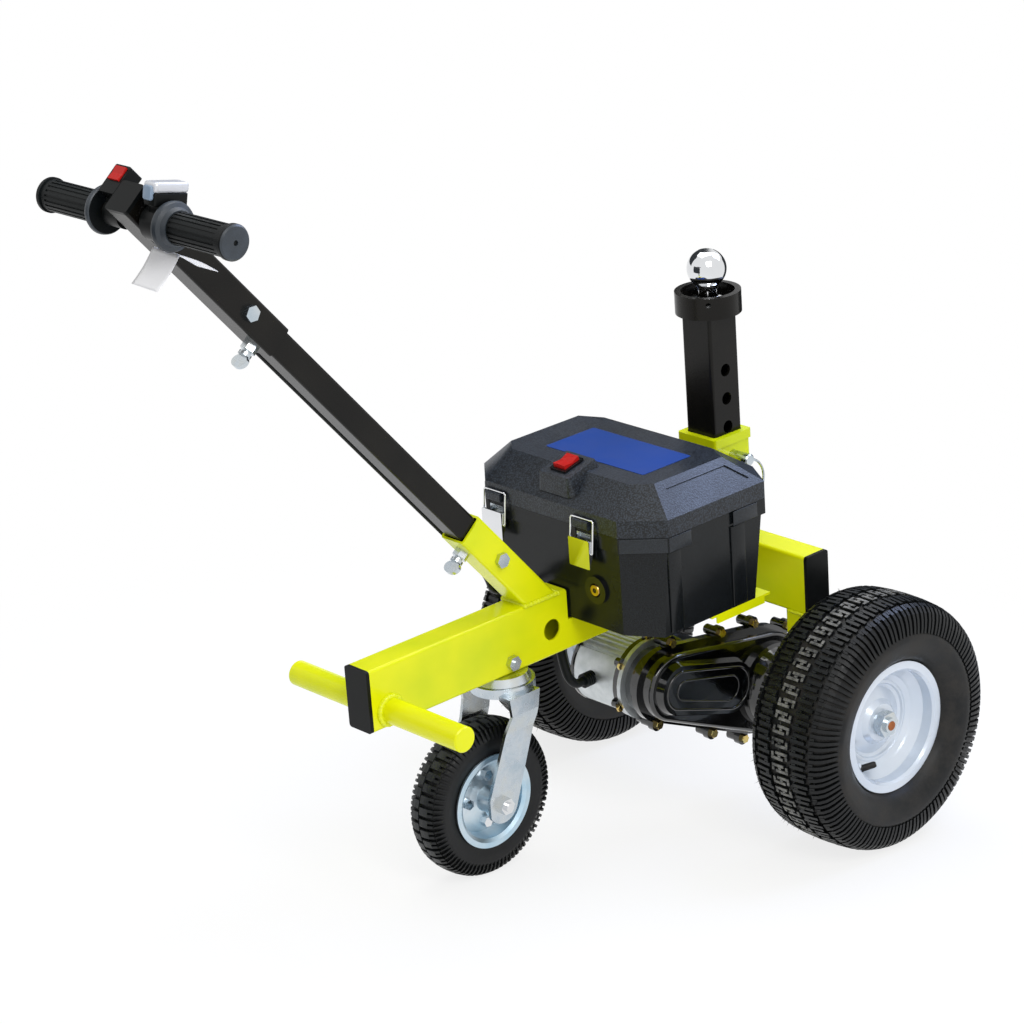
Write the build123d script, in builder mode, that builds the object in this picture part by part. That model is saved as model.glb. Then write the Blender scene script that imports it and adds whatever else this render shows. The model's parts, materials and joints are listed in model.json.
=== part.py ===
from build123d import *
import os
from math import asin, atan2, cos, hypot, radians, sin, tan

# Electric trailer dolly: two driven wheels behind, a swivelling caster under the nose, a cranked
# handle with a twist throttle and a height-adjustable hitch ball.
# Everything is drawn level, in the frame's own axes: origin at the middle of the drive axle,
# +X to the rear, +Y to the left wheel, +Z up. The last section sets the dolly down on its wheels.
# All sizes are in millimetres and degrees.

# Wheels
tyre_radius = 165.0
tyre_width = 128.0
half_track = 255.0
bead_radius = 76.2
rim_flange_radius = 86.0
rim_half_width = 46.0
rim_wall = 3.0
rim_well_radius = 66.0
disc_offset = 14.0
hub_radius = 24.0
hub_inner = -30.0
hub_outer = 22.0
groove_width = 4.5
groove_depth = 4.5
caster_tyre_radius = 101.6
caster_tyre_width = 50.0
caster_bead_radius = 52.0
caster_flange_radius = 61.0
caster_rim_half_width = 26.0
caster_axle_x = -435.0
caster_axle_z = -23.5
running = 0.05

# Main beam
beam_width = 40.0
beam_height = 80.0
beam_bottom = 129.5
tube_wall = 2.5
tube_corner = 4.0
nose_x = -608.0
plug_thickness = 5.0
side_hole_x = -314.7
side_hole_z = 164.8
side_hole_radius = 13.5
front_bar_x = -581.0
front_bar_z = 151.0
front_bar_radius = 15.9
front_bar_length = 308.0
weld_gap = 0.1

# Battery box
box_front = -287.0
box_rear = -48.0
box_rear_foot = -68.0
box_half_width = 165.0
box_bottom = 172.5
box_seam = 300.5
box_lip_height = 20.0
box_lip_proud = 3.0
box_wall = 3.0
front_corner_run = 41.0
front_foot_run = 28.0
rear_corner_run = 29.0
corner_side = 47.0
lid_wall_height = 22.5
lid_rise = 34.0
plateau_front = -250.0
plateau_rear = -97.0
plateau_half_width = 128.0
recess_depth = 1.6
seam_gap = 0.3
tray_thickness = 3.0

# Handle
handle_angle = 50.0
handle_foot_x = -329.0
socket_outer = 40.0
socket_wall = 3.0
socket_mouth = 162.0
lower_tube_size = 32.0
upper_tube_size = 38.0
upper_tube_wall = 2.5
upper_tube_start = 561.0
upper_tube_end = 827.0
lower_bolt_along = 95.3
upper_bolt_along = 620.0
lower_screw_along = 137.0
upper_screw_along = 579.0
bar_along = 800.0
bar_across = -5.0
bar_radius = 11.0
bar_half_length = 160.0
grip_radius = 18.0
grip_flange_radius = 26.0
grip_inner = 55.0

# Hitch post
post_x = 5.7
post_size = 50.0
post_wall = 4.0
post_foot = 163.0
post_ring_foot = 491.0
post_ring_radius = 42.6
post_ring_height = 28.6
post_hole_pitch = 38.1
post_hole_radius = 8.25
post_hole_count = 7
pin_hole_z = 302.5
holes_below_pin = 3
pin_radius = 8.0
receiver_size = 63.5
receiver_clearance = 0.5
collar_size = 67.5
collar_height = 12.0
receiver_top = 331.5
ball_radius = 25.4
ball_rise = 56.6

# Rear cross beam and axle
cross_half_length = 167.0
cross_bottom = 121.5
leg_foot = 36.0
axle_tube_radius = 25.0
clamp_wall = 9.0
shaft_radius = 10.0

# Drive unit
motor_x = -170.0
motor_z = 52.0
motor_radius = 50.0
motor_far = 30.0
motor_near = -24.0
motor_cap_depth = 10.0
fin_count = 28
ring_radius = 53.0
case_back = -38.0
case_split = -60.0
case_front = -85.0
case_motor_radius = 50.0
case_axle_radius = 74.0


def side(y):
    """Upright plane at this y, seen from the near side: x to the rear, z up."""
    return Plane.XZ.offset(-y)


def level(z):
    """Level plane at this height."""
    return Plane.XY.offset(z)


def facing(y, hand, x=0.0, z=0.0):
    """Upright plane facing away from the middle of the dolly on one hand, x to the rear."""
    return Plane((x, y, z), x_dir=(1, 0, 0), z_dir=(0, hand, 0))


def along_handle(distance, across=0.0, y=0.0):
    """Point on the handle's centre line, or across it towards the rear."""
    slope = radians(handle_angle)
    x = handle_foot_x - distance * cos(slope) + across * sin(slope)
    z = beam_top + distance * sin(slope) + across * cos(slope)
    return Vector(x, y, z)


def handle_plane(distance):
    """Plane square to the handle, facing up it, with its x axis across the dolly."""
    slope = radians(handle_angle)
    return Plane(along_handle(distance), x_dir=(0, 1, 0), z_dir=(-cos(slope), 0, sin(slope)))


def under_handle(distance, across):
    """Plane on the handle's underside, facing away from the tube."""
    slope = radians(handle_angle)
    return Plane(along_handle(distance, across), x_dir=(0, 1, 0), z_dir=(-sin(slope), 0, -cos(slope)))


def square_tube(plane, outer, wall, length):
    """Square tube with rounded corners, from the plane along its normal."""
    with BuildPart() as body:
        with BuildSketch(plane):
            RectangleRounded(outer, outer, tube_corner)
            RectangleRounded(outer - 2 * wall, outer - 2 * wall, tube_corner - wall + 0.5, mode=Mode.SUBTRACT)
        extrude(amount=length)
    return body.part


def hex_bolt(seat, across_flats, head, shank_radius, shank_length):
    """Hexagon head standing on its seat plane, with the shank below it."""
    with BuildPart() as bolt:
        with BuildSketch(seat):
            RegularPolygon(across_flats / 2, 6, major_radius=False)
        extrude(amount=head)
        with BuildSketch(seat):
            Circle(shank_radius)
        extrude(amount=-shank_length)
    return bolt.part


def hex_nut(seat, across_flats, height, bore_radius):
    """Hexagon nut standing on its seat plane."""
    with BuildPart() as nut:
        with BuildSketch(seat):
            RegularPolygon(across_flats / 2, 6, major_radius=False)
            Circle(bore_radius, mode=Mode.SUBTRACT)
        extrude(amount=height)
    return nut.part


def cord(label, points, radius):
    """Round cord on straight runs and tangent arcs, each arc as large as its two runs allow."""
    radii = []
    for before, corner, after in zip(points, points[1:], points[2:]):
        turn = radians((corner - before).get_angle(after - corner))
        shorter = min((corner - before).length, (after - corner).length)
        radii.append(0.45 * shorter / tan(turn / 2))
    print(label, "arc radii", [round(value, 1) for value in radii])
    with BuildPart() as body:
        with BuildLine() as path:
            FilletPolyline(*points, radius=radii)
        with BuildSketch(Plane(path.line @ 0, z_dir=path.line % 0)):
            Circle(radius)
        sweep()
    return body.part


pieces = {}


def keep(label, *solids):
    """Store a finished piece, or a group of like pieces, under its name."""
    pieces[label] = solids[0] if len(solids) == 1 else Compound(list(solids))


# Main beam: rectangular tube, cut down behind the handle to pass under the battery box
beam_top = beam_bottom + beam_height
beam_rear = post_x - receiver_size / 2
low_beam_top = box_bottom - tray_thickness
beam_middle_z = beam_bottom + beam_height / 2
half_beam = beam_width / 2
bolt_shank = 5.0
stem_x = -385.0
stem_radius = 12.5
stem_bolt_z = 145.0
hole_clearance = 0.2
with BuildPart() as main_beam:
    with BuildSketch(Plane.YZ.offset(nose_x)):
        with Locations((0, beam_middle_z)):
            RectangleRounded(beam_width, beam_height, tube_corner)
    extrude(amount=beam_rear - nose_x)
    with BuildSketch(side(0)):
        with Locations(((box_front + beam_rear) / 2, low_beam_top + beam_height / 2)):
            Rectangle(beam_rear - box_front, beam_height)
    extrude(amount=beam_width, both=True, mode=Mode.SUBTRACT)
    with BuildSketch(side(0)):
        with BuildLine():
            Polyline(
                (nose_x, beam_bottom + tube_wall),
                (beam_rear, beam_bottom + tube_wall),
                (beam_rear, low_beam_top - tube_wall),
                (box_front - tube_wall, low_beam_top - tube_wall),
                (box_front - tube_wall, beam_top - tube_wall),
                (nose_x, beam_top - tube_wall),
                close=True,
            )
        make_face()
    extrude(amount=half_beam - tube_wall, both=True, mode=Mode.SUBTRACT)
    with BuildSketch(side(0)):
        with Locations((side_hole_x, side_hole_z)):
            Circle(side_hole_radius)
        with Locations((front_bar_x, front_bar_z)):
            Circle(front_bar_radius + weld_gap)
        with Locations((stem_x, stem_bolt_z)):
            Circle(bolt_shank + hole_clearance)
    extrude(amount=beam_width, both=True, mode=Mode.SUBTRACT)
    with BuildSketch(level(beam_bottom)):
        with Locations((stem_x, 0)):
            Circle(stem_radius + hole_clearance)
    extrude(amount=tube_wall, mode=Mode.SUBTRACT)
keep("main_beam", main_beam.part)

with BuildPart() as front_bar:
    with BuildSketch(side(0)):
        with Locations((front_bar_x, front_bar_z)):
            Circle(front_bar_radius)
    extrude(amount=front_bar_length / 2, both=True)
    chamfer(front_bar.edges().filter_by(GeomType.CIRCLE), 1.5)
keep("front_bar", front_bar.part)

# Handle socket: angled tube cut level where it stands on the beam
screw_radius = 5.0
with BuildPart() as handle_socket:
    add(square_tube(handle_plane(-socket_outer), socket_outer, socket_wall, socket_mouth + socket_outer))
    with BuildSketch(level(beam_top)):
        with Locations((handle_foot_x, 0)):
            Rectangle(socket_outer * 5, socket_outer * 3)
    extrude(amount=-beam_height * 2, mode=Mode.SUBTRACT)
    with BuildSketch(side(0)):
        with Locations((along_handle(lower_bolt_along).X, along_handle(lower_bolt_along).Z)):
            Circle(bolt_shank + hole_clearance)
    extrude(amount=socket_outer, both=True, mode=Mode.SUBTRACT)
    with BuildSketch(under_handle(lower_screw_along, -socket_outer / 2)):
        Circle(screw_radius + hole_clearance)
    extrude(amount=-socket_outer / 2, mode=Mode.SUBTRACT)
keep("handle_socket", handle_socket.part)

# Handle tubes: the lower one is bolted in the socket and in the upper one
lower_tube_start = 30.0
lower_tube_reach = 25.0
with BuildPart() as handle_lower_tube:
    add(square_tube(handle_plane(lower_tube_start), lower_tube_size, 2.0,
                    upper_bolt_along + lower_tube_reach - lower_tube_start))
    with BuildSketch(side(0)):
        for distance in (lower_bolt_along, upper_bolt_along):
            with Locations((along_handle(distance).X, along_handle(distance).Z)):
                Circle(bolt_shank + hole_clearance)
    extrude(amount=socket_outer, both=True, mode=Mode.SUBTRACT)
keep("handle_lower_tube", handle_lower_tube.part)

bar_centre = along_handle(bar_along, bar_across)
bar_x = bar_centre.X
bar_z = bar_centre.Z
with BuildPart() as handle_upper_tube:
    add(square_tube(handle_plane(upper_tube_start), upper_tube_size, upper_tube_wall,
                    upper_tube_end - upper_tube_start))
    with BuildSketch(side(0)):
        with Locations((along_handle(upper_bolt_along).X, along_handle(upper_bolt_along).Z)):
            Circle(bolt_shank + hole_clearance)
        with Locations((bar_x, bar_z)):
            Circle(bar_radius + weld_gap)
    extrude(amount=socket_outer, both=True, mode=Mode.SUBTRACT)
    with BuildSketch(under_handle(upper_screw_along, -upper_tube_size / 2)):
        Circle(screw_radius + hole_clearance)
    extrude(amount=-upper_tube_size / 2, mode=Mode.SUBTRACT)
keep("handle_upper_tube", handle_upper_tube.part)

with BuildPart() as handlebar:
    with BuildSketch(side(0)):
        with Locations((bar_x, bar_z)):
            Circle(bar_radius)
            Circle(bar_radius - 2.0, mode=Mode.SUBTRACT)
    extrude(amount=bar_half_length, both=True)
keep("handlebar", handlebar.part)

# Handle fasteners: cross bolts with nuts, and weld nuts that carry the thumbscrews
head_across = 17.0
head_height = 6.4
nut_height = 8.0
weld_nut_height = 9.0
thread_end = 3.0
handle_fasteners = []
for distance, width in ((lower_bolt_along, socket_outer), (upper_bolt_along, upper_tube_size)):
    near_seat = Plane(along_handle(distance, y=-width / 2), x_dir=(1, 0, 0), z_dir=(0, -1, 0))
    far_seat = Plane(along_handle(distance, y=width / 2), x_dir=(1, 0, 0), z_dir=(0, 1, 0))
    handle_fasteners.append(hex_bolt(near_seat, head_across, head_height, bolt_shank,
                                     width + nut_height + thread_end))
    handle_fasteners.append(hex_nut(far_seat, head_across, nut_height, bolt_shank))
screw_seats = {
    "lower_thumbscrew": (lower_screw_along, socket_outer / 2),
    "upper_thumbscrew": (upper_screw_along, upper_tube_size / 2),
}
for distance, half_width in screw_seats.values():
    seat = under_handle(distance, -half_width)
    handle_fasteners.append(hex_nut(seat, head_across, weld_nut_height, screw_radius + running))
keep("handle_fasteners", *handle_fasteners)

# Thumbscrews: the tip stops short of the lower tube, the flat grip is turned by hand
screw_tip_gap = 0.3
thumb_grip_width = 24.0
thumb_grip_height = 15.0
thumb_grip_thickness = 5.0
thumb_neck = 3.0
thumb_collar = 4.0
for label, (distance, half_width) in screw_seats.items():
    seat = under_handle(distance, -half_width)
    reach = half_width - lower_tube_size / 2 - screw_tip_gap
    collar_seat = seat.offset(weld_nut_height + thumb_neck)
    grip_centre = collar_seat.offset(thumb_collar + thumb_grip_height / 2)
    with BuildPart() as thumbscrew:
        with BuildSketch(seat.offset(-reach)):
            Circle(screw_radius)
        extrude(amount=reach + weld_nut_height + thumb_neck)
        with BuildSketch(collar_seat):
            Circle(screw_radius + 3.0)
        extrude(amount=thumb_collar)
        with BuildSketch(Plane(grip_centre.origin, x_dir=seat.x_dir, z_dir=seat.y_dir)):
            Ellipse(thumb_grip_width / 2, thumb_grip_height / 2 + 1.0)
        extrude(amount=thumb_grip_thickness / 2, both=True)
    keep(label, thumbscrew.part)

# Grips: ribbed rubber sleeves on the bar, the near one turns
rib_count = 20
rib_depth = 1.2
rib_groove = 2.4
grip_cap = 6.0
grip_skirt = 12.0
throttle_gap = 0.3
grip_end = bar_half_length + grip_cap


def grip(inner, hand, bore):
    """Ribbed sleeve about the bar, from its flange to its closed outer end."""
    plane = facing(hand * inner, hand, bar_x, bar_z)
    length = grip_end - inner
    with BuildPart() as sleeve:
        with BuildSketch(plane):
            Circle(grip_flange_radius)
        extrude(amount=3.0)
        with BuildSketch(plane.offset(3.0)):
            Circle(grip_flange_radius)
        with BuildSketch(plane.offset(grip_skirt)):
            Circle(grip_radius)
        loft()
        with BuildSketch(plane.offset(grip_skirt)):
            Circle(grip_radius)
        extrude(amount=length - grip_skirt)
        with BuildSketch(plane.offset(grip_skirt + 6.0)):
            with PolarLocations(grip_radius, rib_count):
                Rectangle(2 * rib_depth, rib_groove)
        extrude(amount=length - grip_cap - grip_skirt - 14.0, mode=Mode.SUBTRACT)
        with BuildSketch(plane.offset(length - grip_cap)):
            Circle(grip_radius + 2.0)
        extrude(amount=grip_cap)
        fillet(sleeve.faces().sort_by(Axis.Y)[-1 if hand > 0 else 0].edges(), 2.0)
        with BuildSketch(plane):
            Circle(bore)
        extrude(amount=length - grip_cap + throttle_gap, mode=Mode.SUBTRACT)
    return sleeve.part


keep("far_grip", grip(grip_inner, 1, bar_radius))
keep("throttle_grip", grip(grip_inner, -1, bar_radius + running))

# Throttle housing: clamped on the bar inside the near grip, its flat box carries the gauge
housing_inner = -25.0
housing_outer = -grip_inner + throttle_gap
housing_radius = 20.0
gauge_inner = -32.0
gauge_outer = -92.0
gauge_width = 46.0
gauge_base_height = 13.0
gauge_cover_height = 13.0
gauge_rise = 27.5
gauge_tilt = 8.0
button_width = 13.0
button_length = 11.0
button_travel = 2.0
gauge_plane = Plane(
    (bar_x - 2.0, (gauge_inner + gauge_outer) / 2, bar_z + gauge_rise),
    x_dir=(cos(radians(gauge_tilt)), 0, sin(radians(gauge_tilt))),
    z_dir=(-sin(radians(gauge_tilt)), 0, cos(radians(gauge_tilt))),
)
gauge_length = gauge_inner - gauge_outer
button_plane = Plane(
    gauge_plane.from_local_coords(Vector(-2.0, gauge_length / 2, gauge_base_height / 2)),
    x_dir=gauge_plane.x_dir,
    z_dir=(0, 1, 0),
)
with BuildPart() as throttle_housing:
    with BuildSketch(side(housing_inner)):
        with Locations((bar_x, bar_z)):
            Circle(housing_radius)
    extrude(amount=housing_inner - housing_outer)
    with BuildSketch(side(gauge_inner - 2.0)):
        with Locations((bar_x, bar_z + gauge_rise / 2 + 1.0)):
            Rectangle(gauge_width * 0.6, gauge_rise)
    extrude(amount=gauge_inner - 2.0 - housing_outer)
    with BuildSketch(gauge_plane):
        RectangleRounded(gauge_width, gauge_length, 3.0)
    extrude(amount=gauge_base_height)
    with BuildSketch(side(0)):
        with Locations((bar_x, bar_z)):
            Circle(bar_radius)
    extrude(amount=bar_half_length, both=True, mode=Mode.SUBTRACT)
    with BuildSketch(button_plane):
        Rectangle(button_width + 2 * throttle_gap, gauge_base_height - 3.0)
    extrude(amount=-button_length, mode=Mode.SUBTRACT)
keep("throttle_housing", throttle_housing.part)

with BuildPart() as gauge_cover:
    with BuildSketch(gauge_plane.offset(gauge_base_height)):
        RectangleRounded(gauge_width + 1.0, gauge_length + 1.0, 4.0)
    extrude(amount=gauge_cover_height, taper=12)
    fillet(gauge_cover.faces().sort_by(Axis.Z)[-1].edges(), 1.5)
keep("gauge_cover", gauge_cover.part)

with BuildPart() as mode_button:
    with BuildSketch(button_plane.offset(button_travel + 1.5)):
        Rectangle(button_width, gauge_base_height - 3.0 - 2 * throttle_gap)
    extrude(amount=-button_length + throttle_gap)
    chamfer(mode_button.faces().sort_by(Axis.Y)[-1].edges(), 1.0)
keep("mode_button", mode_button.part)

# Direction switch: pod clamped over the bar, with a rocker that pivots across it
pod_y = 33.5
pod_width = 27.0
pod_arm = 26.0
pod_length = 36.0
pod_height = 20.0
pod_tilt = 40.0
pod_rise = 39.0
pod_clamp_radius = 16.0
direction_rocker_length = 17.0
direction_rocker_width = 19.0
direction_rocker_offset = 6.5
direction_rocker_crown = 2.6
direction_rocker_depth = 5.0
rocker_gap = 0.4
rocker_well = 9.0
rocker_pin_radius = 0.9
rocker_pin_reach = 2.0
direction_pivot = 1.6
power_pivot = 2.0
pod_plane = Plane(
    (bar_x - 3.0, pod_y, bar_z + pod_rise),
    x_dir=(cos(radians(pod_tilt)), 0, sin(radians(pod_tilt))),
    z_dir=(-sin(radians(pod_tilt)), 0, cos(radians(pod_tilt))),
)


def rocker_pivot(plane, width, pivot, radius):
    """Round pivot pin under a rocker's valley, out past both sides of the cap."""
    with BuildPart() as pin:
        with BuildSketch(Plane(plane.origin, x_dir=plane.x_dir, z_dir=-plane.y_dir)):
            with Locations((0, -pivot)):
                Circle(radius)
        extrude(amount=width / 2 + rocker_pin_reach, both=True)
    return pin.part


def rocker(plane, length, width, crown, depth, pivot):
    """Rocker cap with two faces that meet in a shallow valley over its pivot pin."""
    across = Plane(plane.origin, x_dir=plane.x_dir, z_dir=-plane.y_dir)
    with BuildPart() as cap:
        with BuildSketch(across):
            with BuildLine():
                Polyline(
                    (-length / 2, crown),
                    (0, crown * 0.45),
                    (length / 2, crown),
                    (length / 2, -depth * 0.2),
                    (0, -depth),
                    (-length / 2, -depth * 0.2),
                    close=True,
                )
            make_face()
        extrude(amount=width / 2, both=True)
        add(rocker_pivot(plane, width, pivot, rocker_pin_radius))
    return cap.part


rocker_plane = Plane(
    pod_plane.from_local_coords(Vector(direction_rocker_offset, 0, 0)),
    x_dir=pod_plane.x_dir,
    z_dir=pod_plane.z_dir,
)
keep("direction_rocker", rocker(rocker_plane, direction_rocker_length, direction_rocker_width,
                                direction_rocker_crown, direction_rocker_depth, direction_pivot))

# Control lead down the far side of the handle, through a pair of connectors, into the tub
lead_radius = 3.0
lead_side = socket_outer / 2 + lead_radius + 0.2
lead_across = -13.5
lead_y = 56.0
lead_z = 198.0
tub_front = box_front + box_lip_proud
connector_radius = 7.0
connector_length = 24.0
lead_points = [
    Vector(tub_front + box_wall + 2.0, lead_y, lead_z),
    Vector(tub_front - 16.0, lead_y, lead_z),
    Vector(tub_front - 36.0, lead_y - 3.0, lead_z + 4.0),
    Vector(tub_front - 62.0, lead_y - 15.0, lead_z + 11.0),
    along_handle(30.0, lead_across - 6.0, lead_side + 10.0),
    along_handle(64.0, lead_across, lead_side),
    along_handle(128.0, lead_across, lead_side),
]
lead_top = along_handle(bar_along - pod_clamp_radius - 1.0, lead_across, lead_side)
lead_body = cord("control lead", lead_points, lead_radius)
with BuildPart() as lead_run:
    with BuildSketch(Plane(lead_points[-1], z_dir=lead_top - lead_points[-1])):
        Circle(lead_radius)
    extrude(amount=(lead_top - lead_points[-1]).length)

connector_middle = (lead_points[2] + lead_points[3]) * 0.5
connector_plane = Plane(connector_middle, z_dir=lead_points[3] - lead_points[2])
with BuildPart() as lead_connector:
    with BuildSketch(connector_plane.offset(-connector_length / 2)):
        Circle(connector_radius)
        Circle(lead_radius, mode=Mode.SUBTRACT)
    extrude(amount=connector_length)
    with BuildSketch(connector_plane.offset(-3.0)):
        Circle(connector_radius + 1.5)
        Circle(lead_radius, mode=Mode.SUBTRACT)
    extrude(amount=6.0)
keep("control_lead", lead_body + lead_run.part, lead_connector.part)

with BuildPart() as direction_pod:
    with BuildSketch(pod_plane):
        RectangleRounded(pod_length, pod_width, 2.0)
    extrude(amount=-pod_height)
    with BuildSketch(side(pod_y)):
        with BuildLine():
            Polyline(
                (bar_x - 13.0, bar_z),
                (bar_x + 13.0, bar_z),
                (bar_x + 15.0, bar_z + pod_rise - 10.0),
                (bar_x - 6.0, bar_z + pod_rise - 14.0),
                close=True,
            )
        make_face()
        with Locations((bar_x, bar_z)):
            Circle(pod_clamp_radius)
    extrude(amount=pod_arm / 2, both=True)
    with BuildSketch(side(0)):
        with Locations((bar_x, bar_z)):
            Circle(bar_radius)
    extrude(amount=bar_half_length, both=True, mode=Mode.SUBTRACT)
    with BuildSketch(pod_plane):
        with Locations((direction_rocker_offset, 0)):
            Rectangle(direction_rocker_length + 2 * rocker_gap, direction_rocker_width + 2 * rocker_gap)
    extrude(amount=-rocker_well, mode=Mode.SUBTRACT)
    add(rocker_pivot(rocker_plane, direction_rocker_width, direction_pivot, rocker_pin_radius + running),
        mode=Mode.SUBTRACT)
    add(lead_run.part, mode=Mode.SUBTRACT)
keep("direction_pod", direction_pod.part)

# Hang tag: blank folded card on a loop of string round the bar
tag_thickness = 0.8
tag_width = 34.0
tag_length = 46.0
tag_y = -22.0
tag_drop = 40.0
string_width = 1.2
with BuildPart() as hang_tag:
    with BuildSketch(side(tag_y)) as string_loop:
        with Locations((bar_x, bar_z)):
            Circle(bar_radius + string_width)
        with Locations((bar_x, bar_z - tag_drop)):
            Circle(2.0 + string_width)
        make_hull()
        with Locations((bar_x, bar_z)):
            Circle(bar_radius, mode=Mode.SUBTRACT)
        with Locations((bar_x, bar_z - tag_drop)):
            Circle(2.0, mode=Mode.SUBTRACT)
        with BuildLine():
            Polyline(
                (bar_x - bar_radius + string_width, bar_z),
                (bar_x + bar_radius - string_width, bar_z),
                (bar_x + 1.6, bar_z - tag_drop),
                (bar_x - 1.6, bar_z - tag_drop),
                close=True,
            )
        make_face(mode=Mode.SUBTRACT)
    extrude(amount=string_width / 2, both=True)
    tag_fold = Vector(bar_x + 2.0, tag_y - 1.0, bar_z - tag_drop + 1.0)
    with BuildSketch(Plane(tag_fold, x_dir=(0.40, -0.92, 0), z_dir=(-0.83, -0.36, 0.42))):
        with Locations((tag_width / 2 - 6.0, -tag_length / 2 + 4.0)):
            Rectangle(tag_width, tag_length)
    extrude(amount=tag_thickness)
    with BuildSketch(Plane(tag_fold, x_dir=(0.40, -0.92, 0), z_dir=(0.42, 0.18, 0.89))):
        with Locations((tag_width / 2 - 6.0, -tag_length / 2 + 4.0)):
            Rectangle(tag_width, tag_length)
    extrude(amount=tag_thickness)
keep("hang_tag", hang_tag.part)


def eight_sides(front, rear, half_width, front_run, rear_run, front_side, rear_side):
    """Outline with cut corners: each has its run along x and its part of the end face."""
    with BuildLine(mode=Mode.PRIVATE) as outline:
        Polyline(
            (front, -half_width + front_side),
            (front + front_run, -half_width),
            (rear - rear_run, -half_width),
            (rear, -half_width + rear_side),
            (rear, half_width - rear_side),
            (rear - rear_run, half_width),
            (front + front_run, half_width),
            (front, half_width - front_side),
            close=True,
        )
    return outline.line


def box_outline(inset, front_run=front_corner_run, rear=box_rear):
    """Outline of the box drawn in by an equal amount all round."""
    shrink = inset * 0.45
    return eight_sides(
        box_front + inset,
        rear - inset,
        box_half_width - inset,
        front_run - shrink,
        rear_corner_run - shrink,
        corner_side - shrink,
        corner_side - shrink,
    )


# Battery box tub: eight-sided moulded shell with a thickened lip broken along the sides
tub_floor = 4.0
lip_gap_length = 60.0
port_y = -74.0
port_z = 222.3
port_radius = 18.0
port_wall = 4.2
hinge_places = (-92.0, 92.0)
hinge_x = box_rear + 5.2
hinge_z = box_seam
knuckle_radius = 4.5
knuckle_length = 18.0
hinge_pin_radius = 2.0
ear_length = 9.0
ear_gap = 0.4
ear_offset = knuckle_length / 2 + ear_gap + ear_length / 2
knuckle_room = 0.6
with BuildPart() as box_tub:
    for bottom, top, inset, mode in (
        (box_bottom, box_seam, box_lip_proud, Mode.ADD),
        (box_bottom + tub_floor, box_seam, box_lip_proud + box_wall, Mode.SUBTRACT),
    ):
        if mode == Mode.SUBTRACT:
            with BuildSketch(level(box_seam - box_lip_height)):
                add(box_outline(0.0))
                make_face()
                with Locations(((box_front + box_rear) / 2 + 10.0, 0)):
                    Rectangle(lip_gap_length, box_half_width * 3, mode=Mode.SUBTRACT)
            extrude(amount=box_lip_height)
        with BuildSketch(level(bottom)):
            add(box_outline(inset, front_foot_run, box_rear_foot))
            make_face()
        with BuildSketch(level(top)):
            add(box_outline(inset))
            make_face()
        loft(ruled=True, mode=mode)
    with BuildSketch(Plane.YZ.offset(box_front)):
        with Locations((port_y, port_z)):
            Circle(port_radius - port_wall)
        with Locations((lead_y, lead_z)):
            Circle(lead_radius)
    extrude(amount=box_wall * 4, mode=Mode.SUBTRACT)
    for y in hinge_places:
        with BuildSketch(side(y)):
            with Locations((hinge_x, hinge_z)):
                Circle(knuckle_radius + knuckle_room)
        extrude(amount=knuckle_length / 2 + ear_gap, both=True, mode=Mode.SUBTRACT)
        for shift in (-ear_offset, ear_offset):
            with BuildSketch(side(y + shift)):
                with BuildLine():
                    Polyline(
                        (box_rear - 1.0, hinge_z - 16.0),
                        (hinge_x + knuckle_radius * 0.9, hinge_z - 2.0),
                        (hinge_x, hinge_z),
                        (box_rear - 1.0, hinge_z),
                        close=True,
                    )
                make_face()
                with Locations((hinge_x, hinge_z)):
                    Circle(knuckle_radius)
            extrude(amount=ear_length / 2, both=True)
            with BuildSketch(side(y + shift)):
                with Locations((hinge_x, hinge_z)):
                    Circle(hinge_pin_radius)
            extrude(amount=ear_length, both=True, mode=Mode.SUBTRACT)
keep("box_tub", box_tub.part)

hinge_pins = []
for y in hinge_places:
    with BuildPart() as hinge_pin:
        with BuildSketch(side(y)):
            with Locations((hinge_x, hinge_z)):
                Circle(hinge_pin_radius)
        extrude(amount=ear_offset + ear_length / 2, both=True)
    hinge_pins.append(hinge_pin.part)

# Lid: side wall, sloped shoulders with a recess each side, and a level top; hollow underneath
lid_edge = box_seam + lid_wall_height
lid_top = lid_edge + lid_rise
side_slope = atan2(lid_rise, box_half_width - plateau_half_width)
slope_length = hypot(lid_rise, box_half_width - plateau_half_width)
recess_front = (-228.0, -218.0)
recess_rear = (-94.0, -116.0)
recess_share = 0.27
boss_x = -256.0
boss_y = -3.0
boss_rise = 4.5
boss_tilt = 14.0
boss_length = 50.0
boss_width = 52.0
boss_depth = 24.0
switch_length = 34.0
switch_width = 28.0
keeper_width = 26.0
keeper_depth = 7.0
keeper_top = 313.0
keeper_height = 11.0
latch_places = {"near": -60.0, "far": 98.0}
boss_plane = Plane(
    (boss_x, boss_y, lid_top + boss_rise),
    x_dir=(cos(radians(boss_tilt)), 0, sin(radians(boss_tilt))),
    z_dir=(-sin(radians(boss_tilt)), 0, cos(radians(boss_tilt))),
)
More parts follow.
